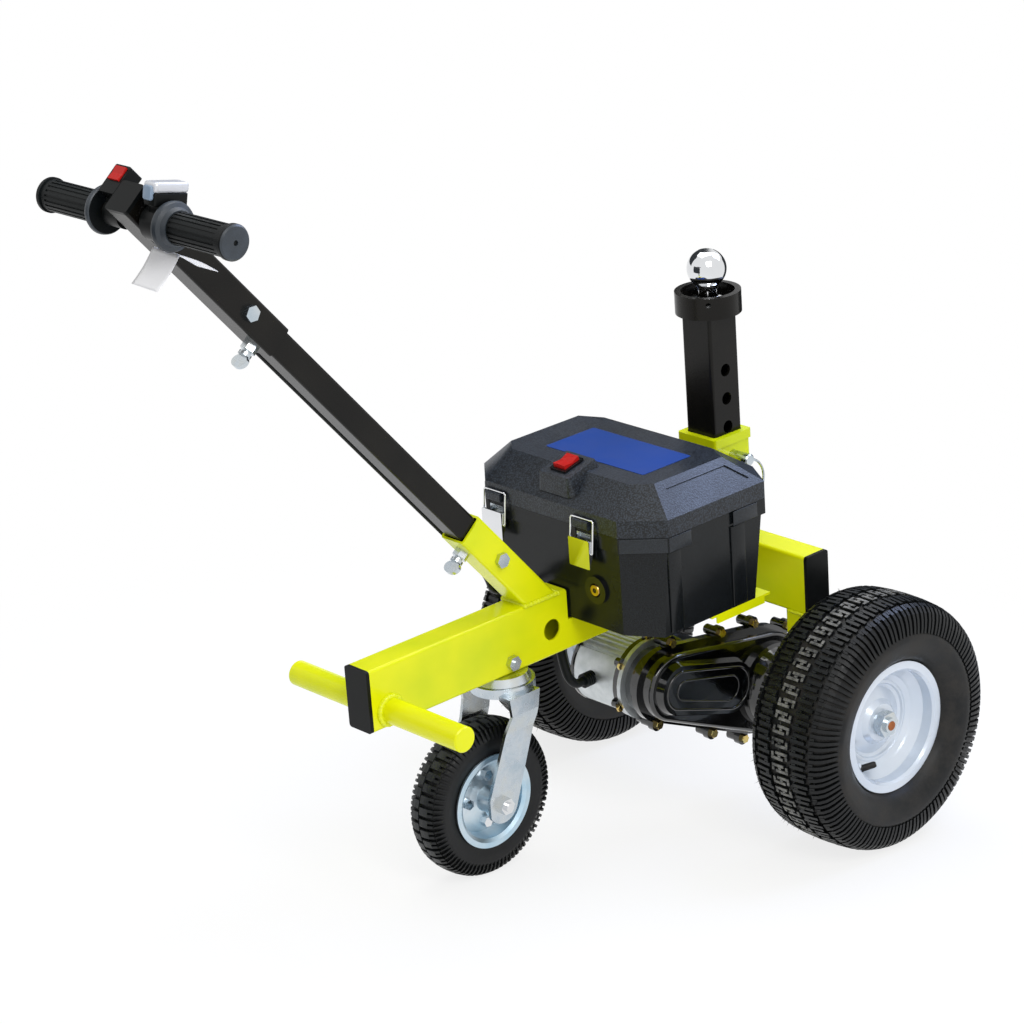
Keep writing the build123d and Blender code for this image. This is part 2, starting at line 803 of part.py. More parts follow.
with BuildPart() as box_lid:
    with BuildSketch(level(box_seam + seam_gap)):
        add(box_outline(0.0))
        make_face()
    extrude(amount=lid_wall_height - seam_gap)
    with BuildSketch(level(lid_edge)):
        add(box_outline(0.0))
        make_face()
    with BuildSketch(level(lid_top)):
        add(eight_sides(plateau_front, plateau_rear, plateau_half_width, 20.0, 15.0, 23.0, 32.0))
        make_face()
    loft(ruled=True)
    for hand in (-1, 1):
        middle = Vector(0, hand * (box_half_width + plateau_half_width) / 2, (lid_edge + lid_top) / 2)
        slope_normal = (0, hand * sin(side_slope), cos(side_slope))
        with BuildSketch(Plane(middle, x_dir=(1, 0, 0), z_dir=slope_normal)):
            with BuildLine():
                Polyline(
                    (recess_front[0], hand * recess_share * slope_length),
                    (recess_front[1], -hand * recess_share * slope_length),
                    (recess_rear[1], -hand * recess_share * slope_length),
                    (recess_rear[0], hand * recess_share * slope_length),
                    close=True,
                )
            make_face()
        extrude(amount=-recess_depth, mode=Mode.SUBTRACT)
    offset(amount=-box_wall, openings=box_lid.faces().sort_by(Axis.Z)[0])
    with BuildSketch(boss_plane):
        RectangleRounded(boss_length, boss_width, 3.0)
    extrude(amount=-boss_depth, taper=-16)
    with BuildSketch(boss_plane):
        Rectangle(switch_length - 5.0, switch_width - 5.0)
    extrude(amount=-boss_depth * 2, mode=Mode.SUBTRACT)
    for y in latch_places.values():
        with BuildSketch(side(y)):
            with Locations((box_front - keeper_depth / 2 + 1.0, keeper_top - keeper_height / 2)):
                RectangleRounded(keeper_depth + 2.0, keeper_height, 2.0)
        extrude(amount=keeper_width / 2, both=True)
    for y in hinge_places:
        with BuildSketch(side(y)):
            with BuildLine():
                Polyline(
                    (box_rear - 1.0, hinge_z + 1.0),
                    (hinge_x, hinge_z + 1.0),
                    (hinge_x, hinge_z + knuckle_radius),
                    (box_rear - 1.0, hinge_z + knuckle_radius + 5.0),
                    close=True,
                )
            make_face()
            with Locations((hinge_x, hinge_z)):
                Circle(knuckle_radius)
        extrude(amount=knuckle_length / 2, both=True)
        with BuildSketch(side(y)):
            with Locations((hinge_x, hinge_z)):
                Circle(hinge_pin_radius + running)
        extrude(amount=knuckle_length, both=True, mode=Mode.SUBTRACT)
keep("box_lid", box_lid.part)

# Power switch: bezel and body fixed in the boss, rocker on a cross pivot
bezel_height = 3.0
bezel_wall = 3.5
bezel_ledge = 2.5
switch_depth = 16.0
switch_well = 11.0
opening_length = switch_length - 2 * bezel_wall
opening_width = switch_width - 2 * bezel_wall
power_rocker_gap = 1.0
power_rocker_crown = 5.0
power_rocker_depth = 7.0
power_rocker_plane = boss_plane.offset(bezel_height)
power_rocker_length = opening_length - 2 * power_rocker_gap
power_rocker_width = opening_width - 2 * rocker_gap
with BuildPart() as switch_body:
    with BuildSketch(boss_plane):
        RectangleRounded(switch_length, switch_width, 2.0)
    extrude(amount=bezel_height)
    with BuildSketch(boss_plane):
        Rectangle(switch_length - 2 * bezel_ledge, switch_width - 2 * bezel_ledge)
    extrude(amount=-switch_depth)
    with BuildSketch(power_rocker_plane):
        Rectangle(opening_length, opening_width)
    extrude(amount=-switch_well, mode=Mode.SUBTRACT)
    add(rocker_pivot(power_rocker_plane, power_rocker_width, power_pivot, rocker_pin_radius + running),
        mode=Mode.SUBTRACT)
keep("switch_body", switch_body.part)
keep("power_rocker", rocker(power_rocker_plane, power_rocker_length, power_rocker_width,
                            power_rocker_crown, power_rocker_depth, power_pivot))

# Draw latches: bracket on the tub, lever with folded cheeks and a wire bail over the lid's keeper
lever_width = 36.0
lever_thickness = 1.5
lever_top = 290.5
lever_bottom = 253.0
lever_stand = 9.5
latch_pivot_x = box_front - 7.0
latch_pivot_z = 287.0
latch_pin_radius = 1.5
bail_pivot_drop = 14.0
bail_wire = 1.3
bail_gap = 0.3
bail_stub = 4.6
bracket_half_width = 12.0
bracket_low = 262.0
bracket_high = 295.0
bracket_sheet = 1.5
bracket_plate = 1.2
bracket_eye = 2.2
bracket_ear_middle = 5.0
bracket_ear_height = 8.0
bail_pivot_z = latch_pivot_z - bail_pivot_drop
bail_half_width = lever_width / 2 + bail_wire + bail_gap
bail_top_x = box_front - 2.6
bail_top_z = keeper_top + bail_gap + bail_wire
lever_face = box_front - lever_stand
cheek_middle = lever_width / 2 - lever_thickness / 2
latch_brackets = []
for hand, y in latch_places.items():
    with BuildPart() as bracket:
        with BuildSketch(Plane.YZ.offset(box_front)):
            with Locations((y, (bracket_low + bracket_high) / 2)):
                Rectangle(2 * bracket_half_width, bracket_high - bracket_low)
        extrude(amount=-bracket_plate)
        for cheek in (-1, 1):
            with BuildSketch(side(y + cheek * (bracket_half_width - bracket_sheet / 2))):
                with Locations((latch_pivot_x, latch_pivot_z)):
                    Circle(bracket_eye)
                with Locations((box_front - bracket_plate / 2, latch_pivot_z - bracket_ear_middle)):
                    Rectangle(bracket_plate, bracket_ear_height)
                make_hull()
                with Locations((latch_pivot_x, latch_pivot_z)):
                    Circle(latch_pin_radius + running, mode=Mode.SUBTRACT)
            extrude(amount=bracket_sheet / 2, both=True)
    latch_brackets.append(bracket.part)

    with BuildPart() as lever:
        with BuildSketch(Plane.YZ.offset(lever_face)):
            with Locations((y, (lever_top + lever_bottom) / 2)):
                RectangleRounded(lever_width, lever_top - lever_bottom, 2.0)
        extrude(amount=-lever_thickness)
        for cheek in (-1, 1):
            with BuildSketch(side(y + cheek * cheek_middle)):
                with BuildLine():
                    Polyline(
                        (lever_face, lever_top - 2.0),
                        (latch_pivot_x + 2.4, latch_pivot_z + 1.5),
                        (latch_pivot_x + 2.4, bail_pivot_z - 1.5),
                        (lever_face, lever_bottom + 4.0),
                        close=True,
                    )
                make_face()
                with Locations((latch_pivot_x, bail_pivot_z)):
                    Circle(bail_wire + running, mode=Mode.SUBTRACT)
            extrude(amount=lever_thickness / 2, both=True)
        with BuildSketch(side(y)):
            with Locations((latch_pivot_x, latch_pivot_z)):
                Circle(latch_pin_radius)
        extrude(amount=cheek_middle, both=True)
    keep("latch_lever_" + hand, lever.part)

    with BuildPart() as bail:
        with BuildLine() as bail_path:
            FilletPolyline(
                (latch_pivot_x, y - bail_half_width + bail_stub, bail_pivot_z),
                (latch_pivot_x, y - bail_half_width, bail_pivot_z),
                (bail_top_x, y - bail_half_width, bail_top_z),
                (bail_top_x, y + bail_half_width, bail_top_z),
                (latch_pivot_x, y + bail_half_width, bail_pivot_z),
                (latch_pivot_x, y + bail_half_width - bail_stub, bail_pivot_z),
                radius=(1.5, 3.5, 3.5, 1.5),
            )
        with BuildSketch(Plane(bail_path.line @ 0, z_dir=bail_path.line % 0)):
            Circle(bail_wire)
        sweep()
    keep("latch_bail_" + hand, bail.part)
keep("box_fittings", *hinge_pins, *latch_brackets)

# Charging port: round socket on the tub's front with a keyed centre
with BuildPart() as charge_port:
    with BuildSketch(Plane.YZ.offset(tub_front)):
        with Locations((port_y, port_z)):
            Circle(port_radius)
    extrude(amount=-4.0)
    with BuildSketch(Plane.YZ.offset(tub_front)):
        with Locations((port_y, port_z)):
            Circle(port_radius - port_wall)
    extrude(amount=16.0)
    with BuildSketch(Plane.YZ.offset(tub_front - 4.0)):
        with Locations((port_y, port_z)):
            Circle(9.0)
            Circle(3.6, mode=Mode.SUBTRACT)
    extrude(amount=14.0, mode=Mode.SUBTRACT)
keep("charge_port", charge_port.part)

# Inside the box: two sealed batteries side by side and the motor controller
battery_length = 140.0
battery_width = 98.0
battery_height = 95.0
battery_gap = 4.0
battery_x = -158.0
terminal_height = 6.0
battery_floor = box_bottom + tub_floor
terminal_length = 12.0
terminal_width = 10.0
terminal_x = 55.0
terminal_y = 36.0
batteries = []
for y in (-(battery_width + battery_gap) / 2, (battery_width + battery_gap) / 2):
    with BuildPart() as battery:
        with BuildSketch(level(battery_floor)):
            with Locations((battery_x, y)):
                RectangleRounded(battery_length, battery_width, 3.0)
        extrude(amount=battery_height)
        with BuildSketch(level(battery_floor + battery_height)):
            with Locations((battery_x - terminal_x, y - terminal_y), (battery_x - terminal_x, y + terminal_y)):
                Rectangle(terminal_length, terminal_width)
        extrude(amount=terminal_height)
    batteries.append(battery.part)
keep("batteries", *batteries)

controller_x = -254.0
controller_y = 50.0
controller_depth = 34.0
controller_width = 110.0
controller_height = 70.0
controller_fins = 7
controller_fin_pitch = 9.0
controller_fin_gap = 4.0
controller_fin_depth = 6.0
with BuildPart() as controller:
    with BuildSketch(level(battery_floor)):
        with Locations((controller_x, controller_y)):
            Rectangle(controller_depth, controller_width)
    extrude(amount=controller_height)
    with BuildSketch(side(controller_y)):
        for step in range(controller_fins):
            fin_z = battery_floor + controller_fin_pitch * (step + 0.9)
            with Locations((controller_x + (controller_depth - controller_fin_depth) / 2, fin_z)):
                Rectangle(controller_fin_depth, controller_fin_gap)
    extrude(amount=controller_width, both=True, mode=Mode.SUBTRACT)
keep("controller", controller.part)

# Battery tray: folded sheet on the low part of the beam, with clipped corners
tray_front = -176.0
tray_rear = -72.0
tray_inset = 3.0
tray_half_width = box_half_width - tray_inset
tray_flange = 9.0
tray_clip = 10.0
with BuildPart() as battery_tray:
    with BuildSketch(level(low_beam_top)):
        with Locations(((tray_front + tray_rear) / 2, 0)):
            Rectangle(tray_rear - tray_front, 2 * tray_half_width)
    extrude(amount=tray_thickness)
    for hand in (-1, 1):
        with BuildSketch(level(low_beam_top)):
            with Locations(((tray_front + tray_rear) / 2, hand * (tray_half_width - tray_thickness / 2))):
                Rectangle(tray_rear - tray_front - 2 * tray_clip, tray_thickness)
        extrude(amount=-tray_flange)
keep("battery_tray", battery_tray.part)

# Receiver tube with its collar, and the hitch pin's holes
bore_size = post_size + 2 * receiver_clearance
with BuildPart() as receiver:
    with BuildSketch(level(cross_bottom)):
        with Locations((post_x, 0)):
            RectangleRounded(receiver_size, receiver_size, tube_corner)
    extrude(amount=receiver_top - cross_bottom)
    with BuildSketch(level(receiver_top - collar_height)):
        with Locations((post_x, 0)):
            RectangleRounded(collar_size, collar_size, tube_corner)
    extrude(amount=collar_height)
    with BuildSketch(level(cross_bottom)):
        with Locations((post_x, 0)):
            RectangleRounded(bore_size, bore_size, tube_corner)
    extrude(amount=receiver_top - cross_bottom, mode=Mode.SUBTRACT)
    with BuildSketch(side(0)):
        with Locations((post_x, pin_hole_z)):
            Circle(post_hole_radius)
    extrude(amount=receiver_size, both=True, mode=Mode.SUBTRACT)
keep("receiver_tube", receiver.part)

# Post: square tube with a row of pin holes and a ring with set screw holes round its head
ring_base = 12.0
ring_top = post_ring_foot + post_ring_height
ring_floor = post_ring_foot + ring_base
ring_wall = 8.0
ball_centre = post_ring_foot + ball_rise
stud_radius = 9.5
set_screw_radius = 3.4
with BuildPart() as hitch_post:
    with BuildSketch(level(post_foot)):
        with Locations((post_x, 0)):
            RectangleRounded(post_size, post_size, tube_corner)
            RectangleRounded(post_size - 2 * post_wall, post_size - 2 * post_wall, 1.0, mode=Mode.SUBTRACT)
    extrude(amount=post_ring_foot - post_foot)
    with BuildSketch(level(post_ring_foot)):
        with Locations((post_x, 0)):
            Circle(post_ring_radius)
    extrude(amount=post_ring_height)
    with BuildSketch(level(ring_floor)):
        with Locations((post_x, 0)):
            Circle(post_ring_radius - ring_wall)
    extrude(amount=post_ring_height, mode=Mode.SUBTRACT)
    with BuildSketch(side(0)):
        for step in range(post_hole_count):
            with Locations((post_x, pin_hole_z + post_hole_pitch * (step - holes_below_pin))):
                Circle(post_hole_radius)
    extrude(amount=receiver_size, both=True, mode=Mode.SUBTRACT)
    with BuildSketch(level(post_ring_foot)):
        with Locations((post_x, 0)):
            Circle(stud_radius)
    extrude(amount=post_ring_height, mode=Mode.SUBTRACT)
    for turn in (45, 135, 225, 315):
        outward = Vector(cos(radians(turn)), sin(radians(turn)), 0)
        hole_start = Vector(post_x, 0, (ring_floor + ring_top) / 2) + outward * (post_ring_radius - ring_wall - 2)
        with BuildSketch(Plane(hole_start, z_dir=outward)):
            Circle(set_screw_radius)
        extrude(amount=ring_wall * 2, mode=Mode.SUBTRACT)
keep("hitch_post", hitch_post.part)

# Ball: turned from one bar with its collar and stud, held by a nut inside the post
ball_flat = 10.0
neck_radius = 14.0
flange_radius = 24.0
flange_height = 6.0
ball_nut_height = 16.0
ball_cut = ball_radius * cos(asin(ball_flat / ball_radius))
neck_cut = ball_radius * cos(asin(neck_radius / ball_radius))
with BuildPart() as hitch_ball:
    with BuildSketch(side(0)):
        with BuildLine():
            Polyline(
                (post_x + neck_radius, ball_centre - neck_cut),
                (post_x + neck_radius, ring_floor + flange_height + 3.0),
                (post_x + flange_radius, ring_floor + flange_height),
                (post_x + flange_radius, ring_floor),
                (post_x + stud_radius, ring_floor),
                (post_x + stud_radius, post_ring_foot - ball_nut_height - 4.0),
                (post_x, post_ring_foot - ball_nut_height - 4.0),
                (post_x, ball_centre + ball_cut),
                (post_x + ball_flat, ball_centre + ball_cut),
            )
            ThreePointArc(
                (post_x + ball_flat, ball_centre + ball_cut),
                (post_x + ball_radius, ball_centre),
                (post_x + neck_radius, ball_centre - neck_cut),
            )
        make_face()
    revolve(axis=Axis((post_x, 0, 0), (0, 0, 1)))
ball_nut = hex_nut(Plane((post_x, 0, post_ring_foot - ball_nut_height)), 32.0, ball_nut_height, stud_radius)
keep("hitch_ball", hitch_ball.part, ball_nut)

# Hitch pin across receiver and post, with a wire ring through its near end
pin_near = -62.0
pin_far = 44.0
ring_wire = 1.6
ring_hole_y = -56.0
ring_loop_radius = 30.0
with BuildPart() as hitch_pin:
    with BuildSketch(side(pin_near)):
        with Locations((post_x, pin_hole_z)):
            Circle(pin_radius)
    extrude(amount=pin_near - pin_far)
    chamfer(hitch_pin.faces().sort_by(Axis.Y)[0].edges() + hitch_pin.faces().sort_by(Axis.Y)[-1].edges(), 1.5)
    with BuildSketch(Plane.YZ.offset(post_x)):
        with Locations((ring_hole_y, pin_hole_z)):
            Circle(ring_wire + 0.9)
    extrude(amount=pin_radius * 2, both=True, mode=Mode.SUBTRACT)
with BuildPart() as pin_ring:
    with BuildSketch(Plane.YZ.offset(post_x)):
        with Locations((ring_hole_y, pin_hole_z - 0.9)):
            Circle(ring_wire)
    revolve(axis=Axis((post_x, ring_hole_y, pin_hole_z - ring_loop_radius), (0, 1, 0)))
keep("hitch_pin", hitch_pin.part, pin_ring.part)

# Rear cross beam: a tube welded to each side of the receiver, with a leg down to the axle
cross_beams = []
axle_legs = []
axle_clamps = []
cross_middle_z = cross_bottom + beam_height / 2
leg_y = cross_half_length - beam_width / 2 + plug_thickness
for hand in (-1, 1):
    weld_face = facing(hand * receiver_size / 2, hand, post_x, cross_middle_z)
    with BuildPart() as cross_beam:
        with BuildSketch(weld_face):
            RectangleRounded(beam_width, beam_height, tube_corner)
            RectangleRounded(beam_width - 2 * tube_wall, beam_height - 2 * tube_wall, 2.0, mode=Mode.SUBTRACT)
        extrude(amount=cross_half_length - receiver_size / 2)
    cross_beams.append(cross_beam.part)
    with BuildPart() as axle_leg:
        with BuildSketch(level(leg_foot)):
            with Locations((post_x, hand * leg_y)):
                RectangleRounded(beam_width, beam_width, tube_corner)
                RectangleRounded(beam_width - 2 * tube_wall, beam_width - 2 * tube_wall, 2.0, mode=Mode.SUBTRACT)
        extrude(amount=cross_bottom - leg_foot)
    axle_legs.append(axle_leg.part)
    with BuildPart() as axle_clamp:
        with BuildSketch(side(hand * leg_y)):
            Circle(axle_tube_radius + clamp_wall)
            with Locations((post_x, leg_foot / 2)):
                Rectangle(beam_width, leg_foot)
            Circle(axle_tube_radius, mode=Mode.SUBTRACT)
        extrude(amount=beam_width / 2, both=True)
    axle_clamps.append(axle_clamp.part)
keep("rear_cross_beams", *cross_beams, *axle_legs)
keep("axle_clamps", *axle_clamps)

# Black plugs in the open tube ends: beam nose, cross beam ends and handle top
plug_reach = 10.0
plug_clearance = 0.2
plugs = []
for plane, width, height, wall in (
    (Plane((nose_x, 0, beam_middle_z), x_dir=(0, -1, 0), z_dir=(-1, 0, 0)), beam_width, beam_height, tube_wall),
    (facing(-cross_half_length, -1, post_x, cross_middle_z), beam_width, beam_height, tube_wall),
    (facing(cross_half_length, 1, post_x, cross_middle_z), beam_width, beam_height, tube_wall),
    (handle_plane(upper_tube_end), upper_tube_size, upper_tube_size, upper_tube_wall),
):
    with BuildPart() as plug:
        with BuildSketch(plane):
            RectangleRounded(width, height, tube_corner)
        extrude(amount=plug_thickness)
        with BuildSketch(plane):
            RectangleRounded(width - 2 * wall - 2 * plug_clearance, height - 2 * wall - 2 * plug_clearance, 2.5)
        extrude(amount=-plug_reach)
    plugs.append(plug.part)
keep("tube_end_plugs", *plugs)

# Caster: upper race and king pin on the beam, fork with its crown, axle bolt
caster_pin_radius = 8.0
race_gap = 0.3
upper_race_radius = 37.0
upper_race_height = 10.0
crown_radius = 41.0
crown_top = beam_bottom - upper_race_height - race_gap
crown_bottom = 107.0
stem_top = 170.0
king_nut_height = 8.0
with BuildPart() as caster_stem:
    with BuildSketch(level(beam_bottom)):
        with Locations((stem_x, 0)):
            Circle(stem_radius)
    extrude(amount=stem_top - beam_bottom)
    with BuildSketch(level(beam_bottom)):
        with Locations((stem_x, 0)):
            Circle(upper_race_radius - 4.0)
    with BuildSketch(level(beam_bottom - upper_race_height)):
        with Locations((stem_x, 0)):
            Circle(upper_race_radius)
    loft()
    with BuildSketch(level(beam_bottom - upper_race_height)):
        with Locations((stem_x, 0)):
            Circle(caster_pin_radius)
    extrude(amount=crown_bottom - race_gap - king_nut_height - beam_bottom + upper_race_height)
    with BuildSketch(level(crown_bottom - race_gap)):
        with Locations((stem_x, 0)):
            RegularPolygon(12.0, 6, major_radius=False)
    extrude(amount=-king_nut_height)
    with BuildSketch(side(0)):
        with Locations((stem_x, stem_bolt_z)):
            Circle(bolt_shank)
    extrude(amount=stem_radius * 2, both=True, mode=Mode.SUBTRACT)

stem_bolt_head = facing(half_beam, 1, stem_x, stem_bolt_z)
stem_nut_seat = facing(-half_beam, -1, stem_x, stem_bolt_z)
keep("caster_stem",
     caster_stem.part,
     hex_bolt(stem_bolt_head, head_across, head_height, bolt_shank, beam_width + nut_height + thread_end),
     hex_nut(stem_nut_seat, head_across, nut_height, bolt_shank))

arm_sheet = 4.5
arm_top_half = 47.5
arm_foot_half = 43.0
arm_bend_high = 88.0
arm_bend_low = 66.0
arm_top_front = -416.0
arm_top_rear = -366.0
arm_knee = (-392.0, 84.0, 21.0)
arm_end_radius = 24.0
caster_bolt_radius = 6.0
caster_axle = (caster_axle_x, caster_axle_z)
with BuildPart() as arm_sides:
    with BuildSketch(side(0)):
        with Locations(caster_axle):
            Circle(arm_end_radius)
        with Locations(arm_knee[:2]):
            Circle(arm_knee[2])
        make_hull()
    extrude(amount=arm_top_half * 2, both=True)
    with BuildSketch(side(0)):
        with BuildLine():
            Polyline(
                (arm_top_front, crown_bottom + arm_sheet),
                (arm_top_rear, crown_bottom + arm_sheet),
                (arm_knee[0] + arm_knee[2], arm_knee[1]),
                (arm_knee[0] - arm_knee[2], arm_knee[1]),
                close=True,
            )
        make_face()
    extrude(amount=arm_top_half * 2, both=True)
with BuildPart() as caster_fork:
    with BuildSketch(Plane.YZ.offset(arm_top_front - beam_width)):
        for hand in (-1, 1):
            with BuildLine():
                Polyline(
                    (hand * arm_top_half, crown_bottom + arm_sheet),
                    (hand * arm_top_half, arm_bend_high),
                    (hand * arm_foot_half, arm_bend_low),
                    (hand * arm_foot_half, caster_axle_z - arm_end_radius - 1.0),
                    (hand * (arm_foot_half - arm_sheet), caster_axle_z - arm_end_radius - 1.0),
                    (hand * (arm_foot_half - arm_sheet), arm_bend_low),
                    (hand * (arm_top_half - arm_sheet), arm_bend_high),
                    (hand * (arm_top_half - arm_sheet), crown_bottom),
                    (0, crown_bottom),
                    (0, crown_bottom + arm_sheet),
                    close=True,
                )
            make_face()
    extrude(amount=beam_width * 5)
    add(arm_sides.part, mode=Mode.INTERSECT)
    with BuildSketch(level(crown_bottom)):
        with Locations((stem_x, 0)):
            Circle(crown_radius)
    extrude(amount=crown_top - crown_bottom)
    with BuildSketch(level(crown_bottom)):
        with Locations((stem_x, 0)):
            Circle(caster_pin_radius + running)
    extrude(amount=crown_top - crown_bottom, mode=Mode.SUBTRACT)
    with BuildSketch(side(0)):
        with Locations(caster_axle):
            Circle(caster_bolt_radius)
    extrude(amount=arm_top_half * 2, both=True, mode=Mode.SUBTRACT)
keep("caster_fork", caster_fork.part)

caster_hub_half = 33.0
spacer_gap = 0.3
spacer_radius = 9.5
caster_axle_parts = [
    hex_bolt(facing(arm_foot_half, 1, *caster_axle), 19.0, 7.0, caster_bolt_radius, 2 * arm_foot_half + 13.0),
    hex_nut(facing(-arm_foot_half, -1, *caster_axle), 19.0, 9.0, caster_bolt_radius),
]
for hand in (-1, 1):
    with BuildPart() as spacer:
        with BuildSketch(facing(hand * (caster_hub_half + spacer_gap), hand, *caster_axle)):
            Circle(spacer_radius)
            Circle(caster_bolt_radius, mode=Mode.SUBTRACT)
        extrude(amount=arm_foot_half - arm_sheet - caster_hub_half - spacer_gap)
    caster_axle_parts.append(spacer.part)
keep("caster_axle", *caster_axle_parts)


def wheel_section(centre, hand):
    """Plane for a wheel's half section: x outwards along the axle, y up from its middle."""
    return Plane(centre, x_dir=(0, hand, 0), z_dir=(hand, 0, 0))


with BuildPart() as caster_rim:
    with BuildSketch(wheel_section((caster_axle_x, 0, caster_axle_z), -1)):
        with BuildLine():
            Polyline(
                (caster_hub_half, caster_bolt_radius + running),
                (caster_hub_half, 15.0),
                (12.0, 17.0),
                (9.0, 26.0),
                (4.0, 46.0),
                (caster_rim_half_width - 3.0, caster_bead_radius - 2.5),
                (caster_rim_half_width, caster_bead_radius + 2.0),
                (caster_rim_half_width, caster_flange_radius),
                (caster_rim_half_width - 2.5, caster_flange_radius),
                (caster_rim_half_width - 2.5, caster_bead_radius),
                (-caster_rim_half_width + 2.5, caster_bead_radius),
                (-caster_rim_half_width + 2.5, caster_flange_radius),
                (-caster_rim_half_width, caster_flange_radius),
                (-caster_rim_half_width, caster_bead_radius + 2.0),
                (-caster_rim_half_width + 3.0, caster_bead_radius - 2.5),
                (-4.0, 46.0),
                (-9.0, 26.0),
                (-12.0, 17.0),
                (-caster_hub_half, 15.0),
                (-caster_hub_half, caster_bolt_radius + running),
                close=True,
            )
        make_face()
    revolve(axis=Axis((caster_axle_x, 0, caster_axle_z), (0, 1, 0)))
keep("caster_rim", caster_rim.part)

with BuildPart() as caster_tyre:
    with BuildSketch(wheel_section((caster_axle_x, 0, caster_axle_z), -1)):
        for hand in (-1, 1):
            with BuildLine():
                Line((0, caster_tyre_radius), (hand * 12.0, caster_tyre_radius - 0.8))
                ThreePointArc(
                    (hand * 12.0, caster_tyre_radius - 0.8),
                    (hand * 21.5, caster_tyre_radius - 6.0),
                    (hand * caster_tyre_width / 2, caster_tyre_radius - 19.0),
                )
                Polyline(
                    (hand * caster_tyre_width / 2, caster_tyre_radius - 19.0),
                    (hand * (caster_rim_half_width - 2.5), caster_flange_radius + 2.0),
                    (hand * (caster_rim_half_width - 2.5), caster_bead_radius),
                    (hand * (caster_rim_half_width - 9.0), caster_bead_radius),
                    (hand * (caster_rim_half_width - 6.0), 74.0),
                    (hand * 12.0, 92.0),
                    (0, 93.0),
                    (0, caster_tyre_radius),
                )
            make_face()
    revolve(axis=Axis((caster_axle_x, 0, caster_axle_z), (0, 1, 0)))
keep("caster_tyre", caster_tyre.part)

# Drive wheels: steel rim with a dished disc, pneumatic tyre, stub axle with washer and nut
bead_inner = rim_half_width - rim_wall
well_half = 18.0
crown_half = 40.0
washer_radius = 15.0
washer_height = 2.5
hub_nut_across = 30.0
hub_nut_height = 11.0
stub_end = 4.0
shaft_inner = 100.0
valve_radius = 4.0
valve_place = (-63.0, -33.0)
valve_length = 26.0
for name, hand in (("near", -1), ("far", 1)):
    centre = Vector(0, hand * half_track, 0)
    with BuildPart() as rim:
        with BuildSketch(wheel_section(centre, hand)):
            with BuildLine():
                Polyline(
                    (hub_outer, shaft_radius),
                    (hub_outer, hub_radius),
                    (disc_offset + 2.0, hub_radius + 6.0),
                    (disc_offset - 4.0, 44.0),
                    (disc_offset + 4.0, rim_well_radius - rim_wall - 2.0),
                    (well_half + 2.0, rim_well_radius - rim_wall),
                    (well_half + 10.0, bead_radius - rim_wall),
                    (rim_half_width - 3.0, bead_radius - rim_wall),
                    (rim_half_width, bead_radius),
                    (rim_half_width, rim_flange_radius),
                    (bead_inner, rim_flange_radius),
                    (bead_inner, bead_radius),
                    (well_half + 8.0, bead_radius),
                    (well_half, rim_well_radius),
                    (-well_half, rim_well_radius),
                    (-well_half - 8.0, bead_radius),
                    (-bead_inner, bead_radius),
                    (-bead_inner, rim_flange_radius),
                    (-rim_half_width, rim_flange_radius),
                    (-rim_half_width, bead_radius),
                    (-rim_half_width + 3.0, bead_radius - rim_wall),
                    (-well_half - 10.0, bead_radius - rim_wall),
                    (-well_half - 2.0, rim_well_radius - rim_wall),
                    (disc_offset, rim_well_radius - rim_wall - 2.0),
                    (disc_offset - 8.0, 44.0),
                    (disc_offset - 4.0, hub_radius),
                    (hub_inner, hub_radius),
                    (hub_inner, shaft_radius),
                    close=True,
                )
            make_face()
        revolve(axis=Axis(centre, (0, 1, 0)))
        with BuildSketch(facing(hand * (half_track + well_half - 4.0), hand, *valve_place)):
            Circle(valve_radius)
        extrude(amount=valve_length)
    keep(name + "_rim", rim.part)

    with BuildPart() as tyre:
        with BuildSketch(wheel_section(centre, hand)):
            for half in (-1, 1):
                with BuildLine():
                    Line((0, tyre_radius), (half * crown_half, tyre_radius - 2.5))
                    ThreePointArc(
                        (half * crown_half, tyre_radius - 2.5),
                        (half * 55.0, tyre_radius - 9.5),
                        (half * (tyre_width / 2 - 2.0), tyre_radius - 26.0),
                    )
                    ThreePointArc(
                        (half * (tyre_width / 2 - 2.0), tyre_radius - 26.0),
                        (half * tyre_width / 2, tyre_radius - 44.0),
                        (half * bead_inner, rim_flange_radius + 1.0),
                    )
                    Polyline(
                        (half * bead_inner, rim_flange_radius + 1.0),
                        (half * bead_inner, bead_radius),
                        (half * (well_half + 9.0), bead_radius),
                        (half * 52.0, 110.0),
                        (half * 52.0, 138.0),
                        (half * 40.0, 153.0),
                        (0, 155.0),
                        (0, tyre_radius),
                    )
                make_face()
            for place in (-27.0, -9.0, 9.0, 27.0):
                with Locations((place, tyre_radius)):
                    Rectangle(groove_width, 2 * groove_depth, mode=Mode.SUBTRACT)
        revolve(axis=Axis(centre, (0, 1, 0)))
    keep(name + "_tyre", tyre.part)

    hub_face = facing(hand * (half_track + hub_outer), hand)
    with BuildPart() as stub_axle:
        with BuildSketch(facing(hand * shaft_inner, hand)):
            Circle(shaft_radius)
        extrude(amount=half_track + hub_outer + washer_height + hub_nut_height + stub_end - shaft_inner)
        with BuildSketch(hub_face):
            Circle(washer_radius)
        extrude(amount=washer_height)
        with BuildSketch(hub_face.offset(washer_height)):
            RegularPolygon(hub_nut_across / 2, 6, major_radius=False)
        extrude(amount=hub_nut_height)
    keep(name + "_stub_axle", stub_axle.part)

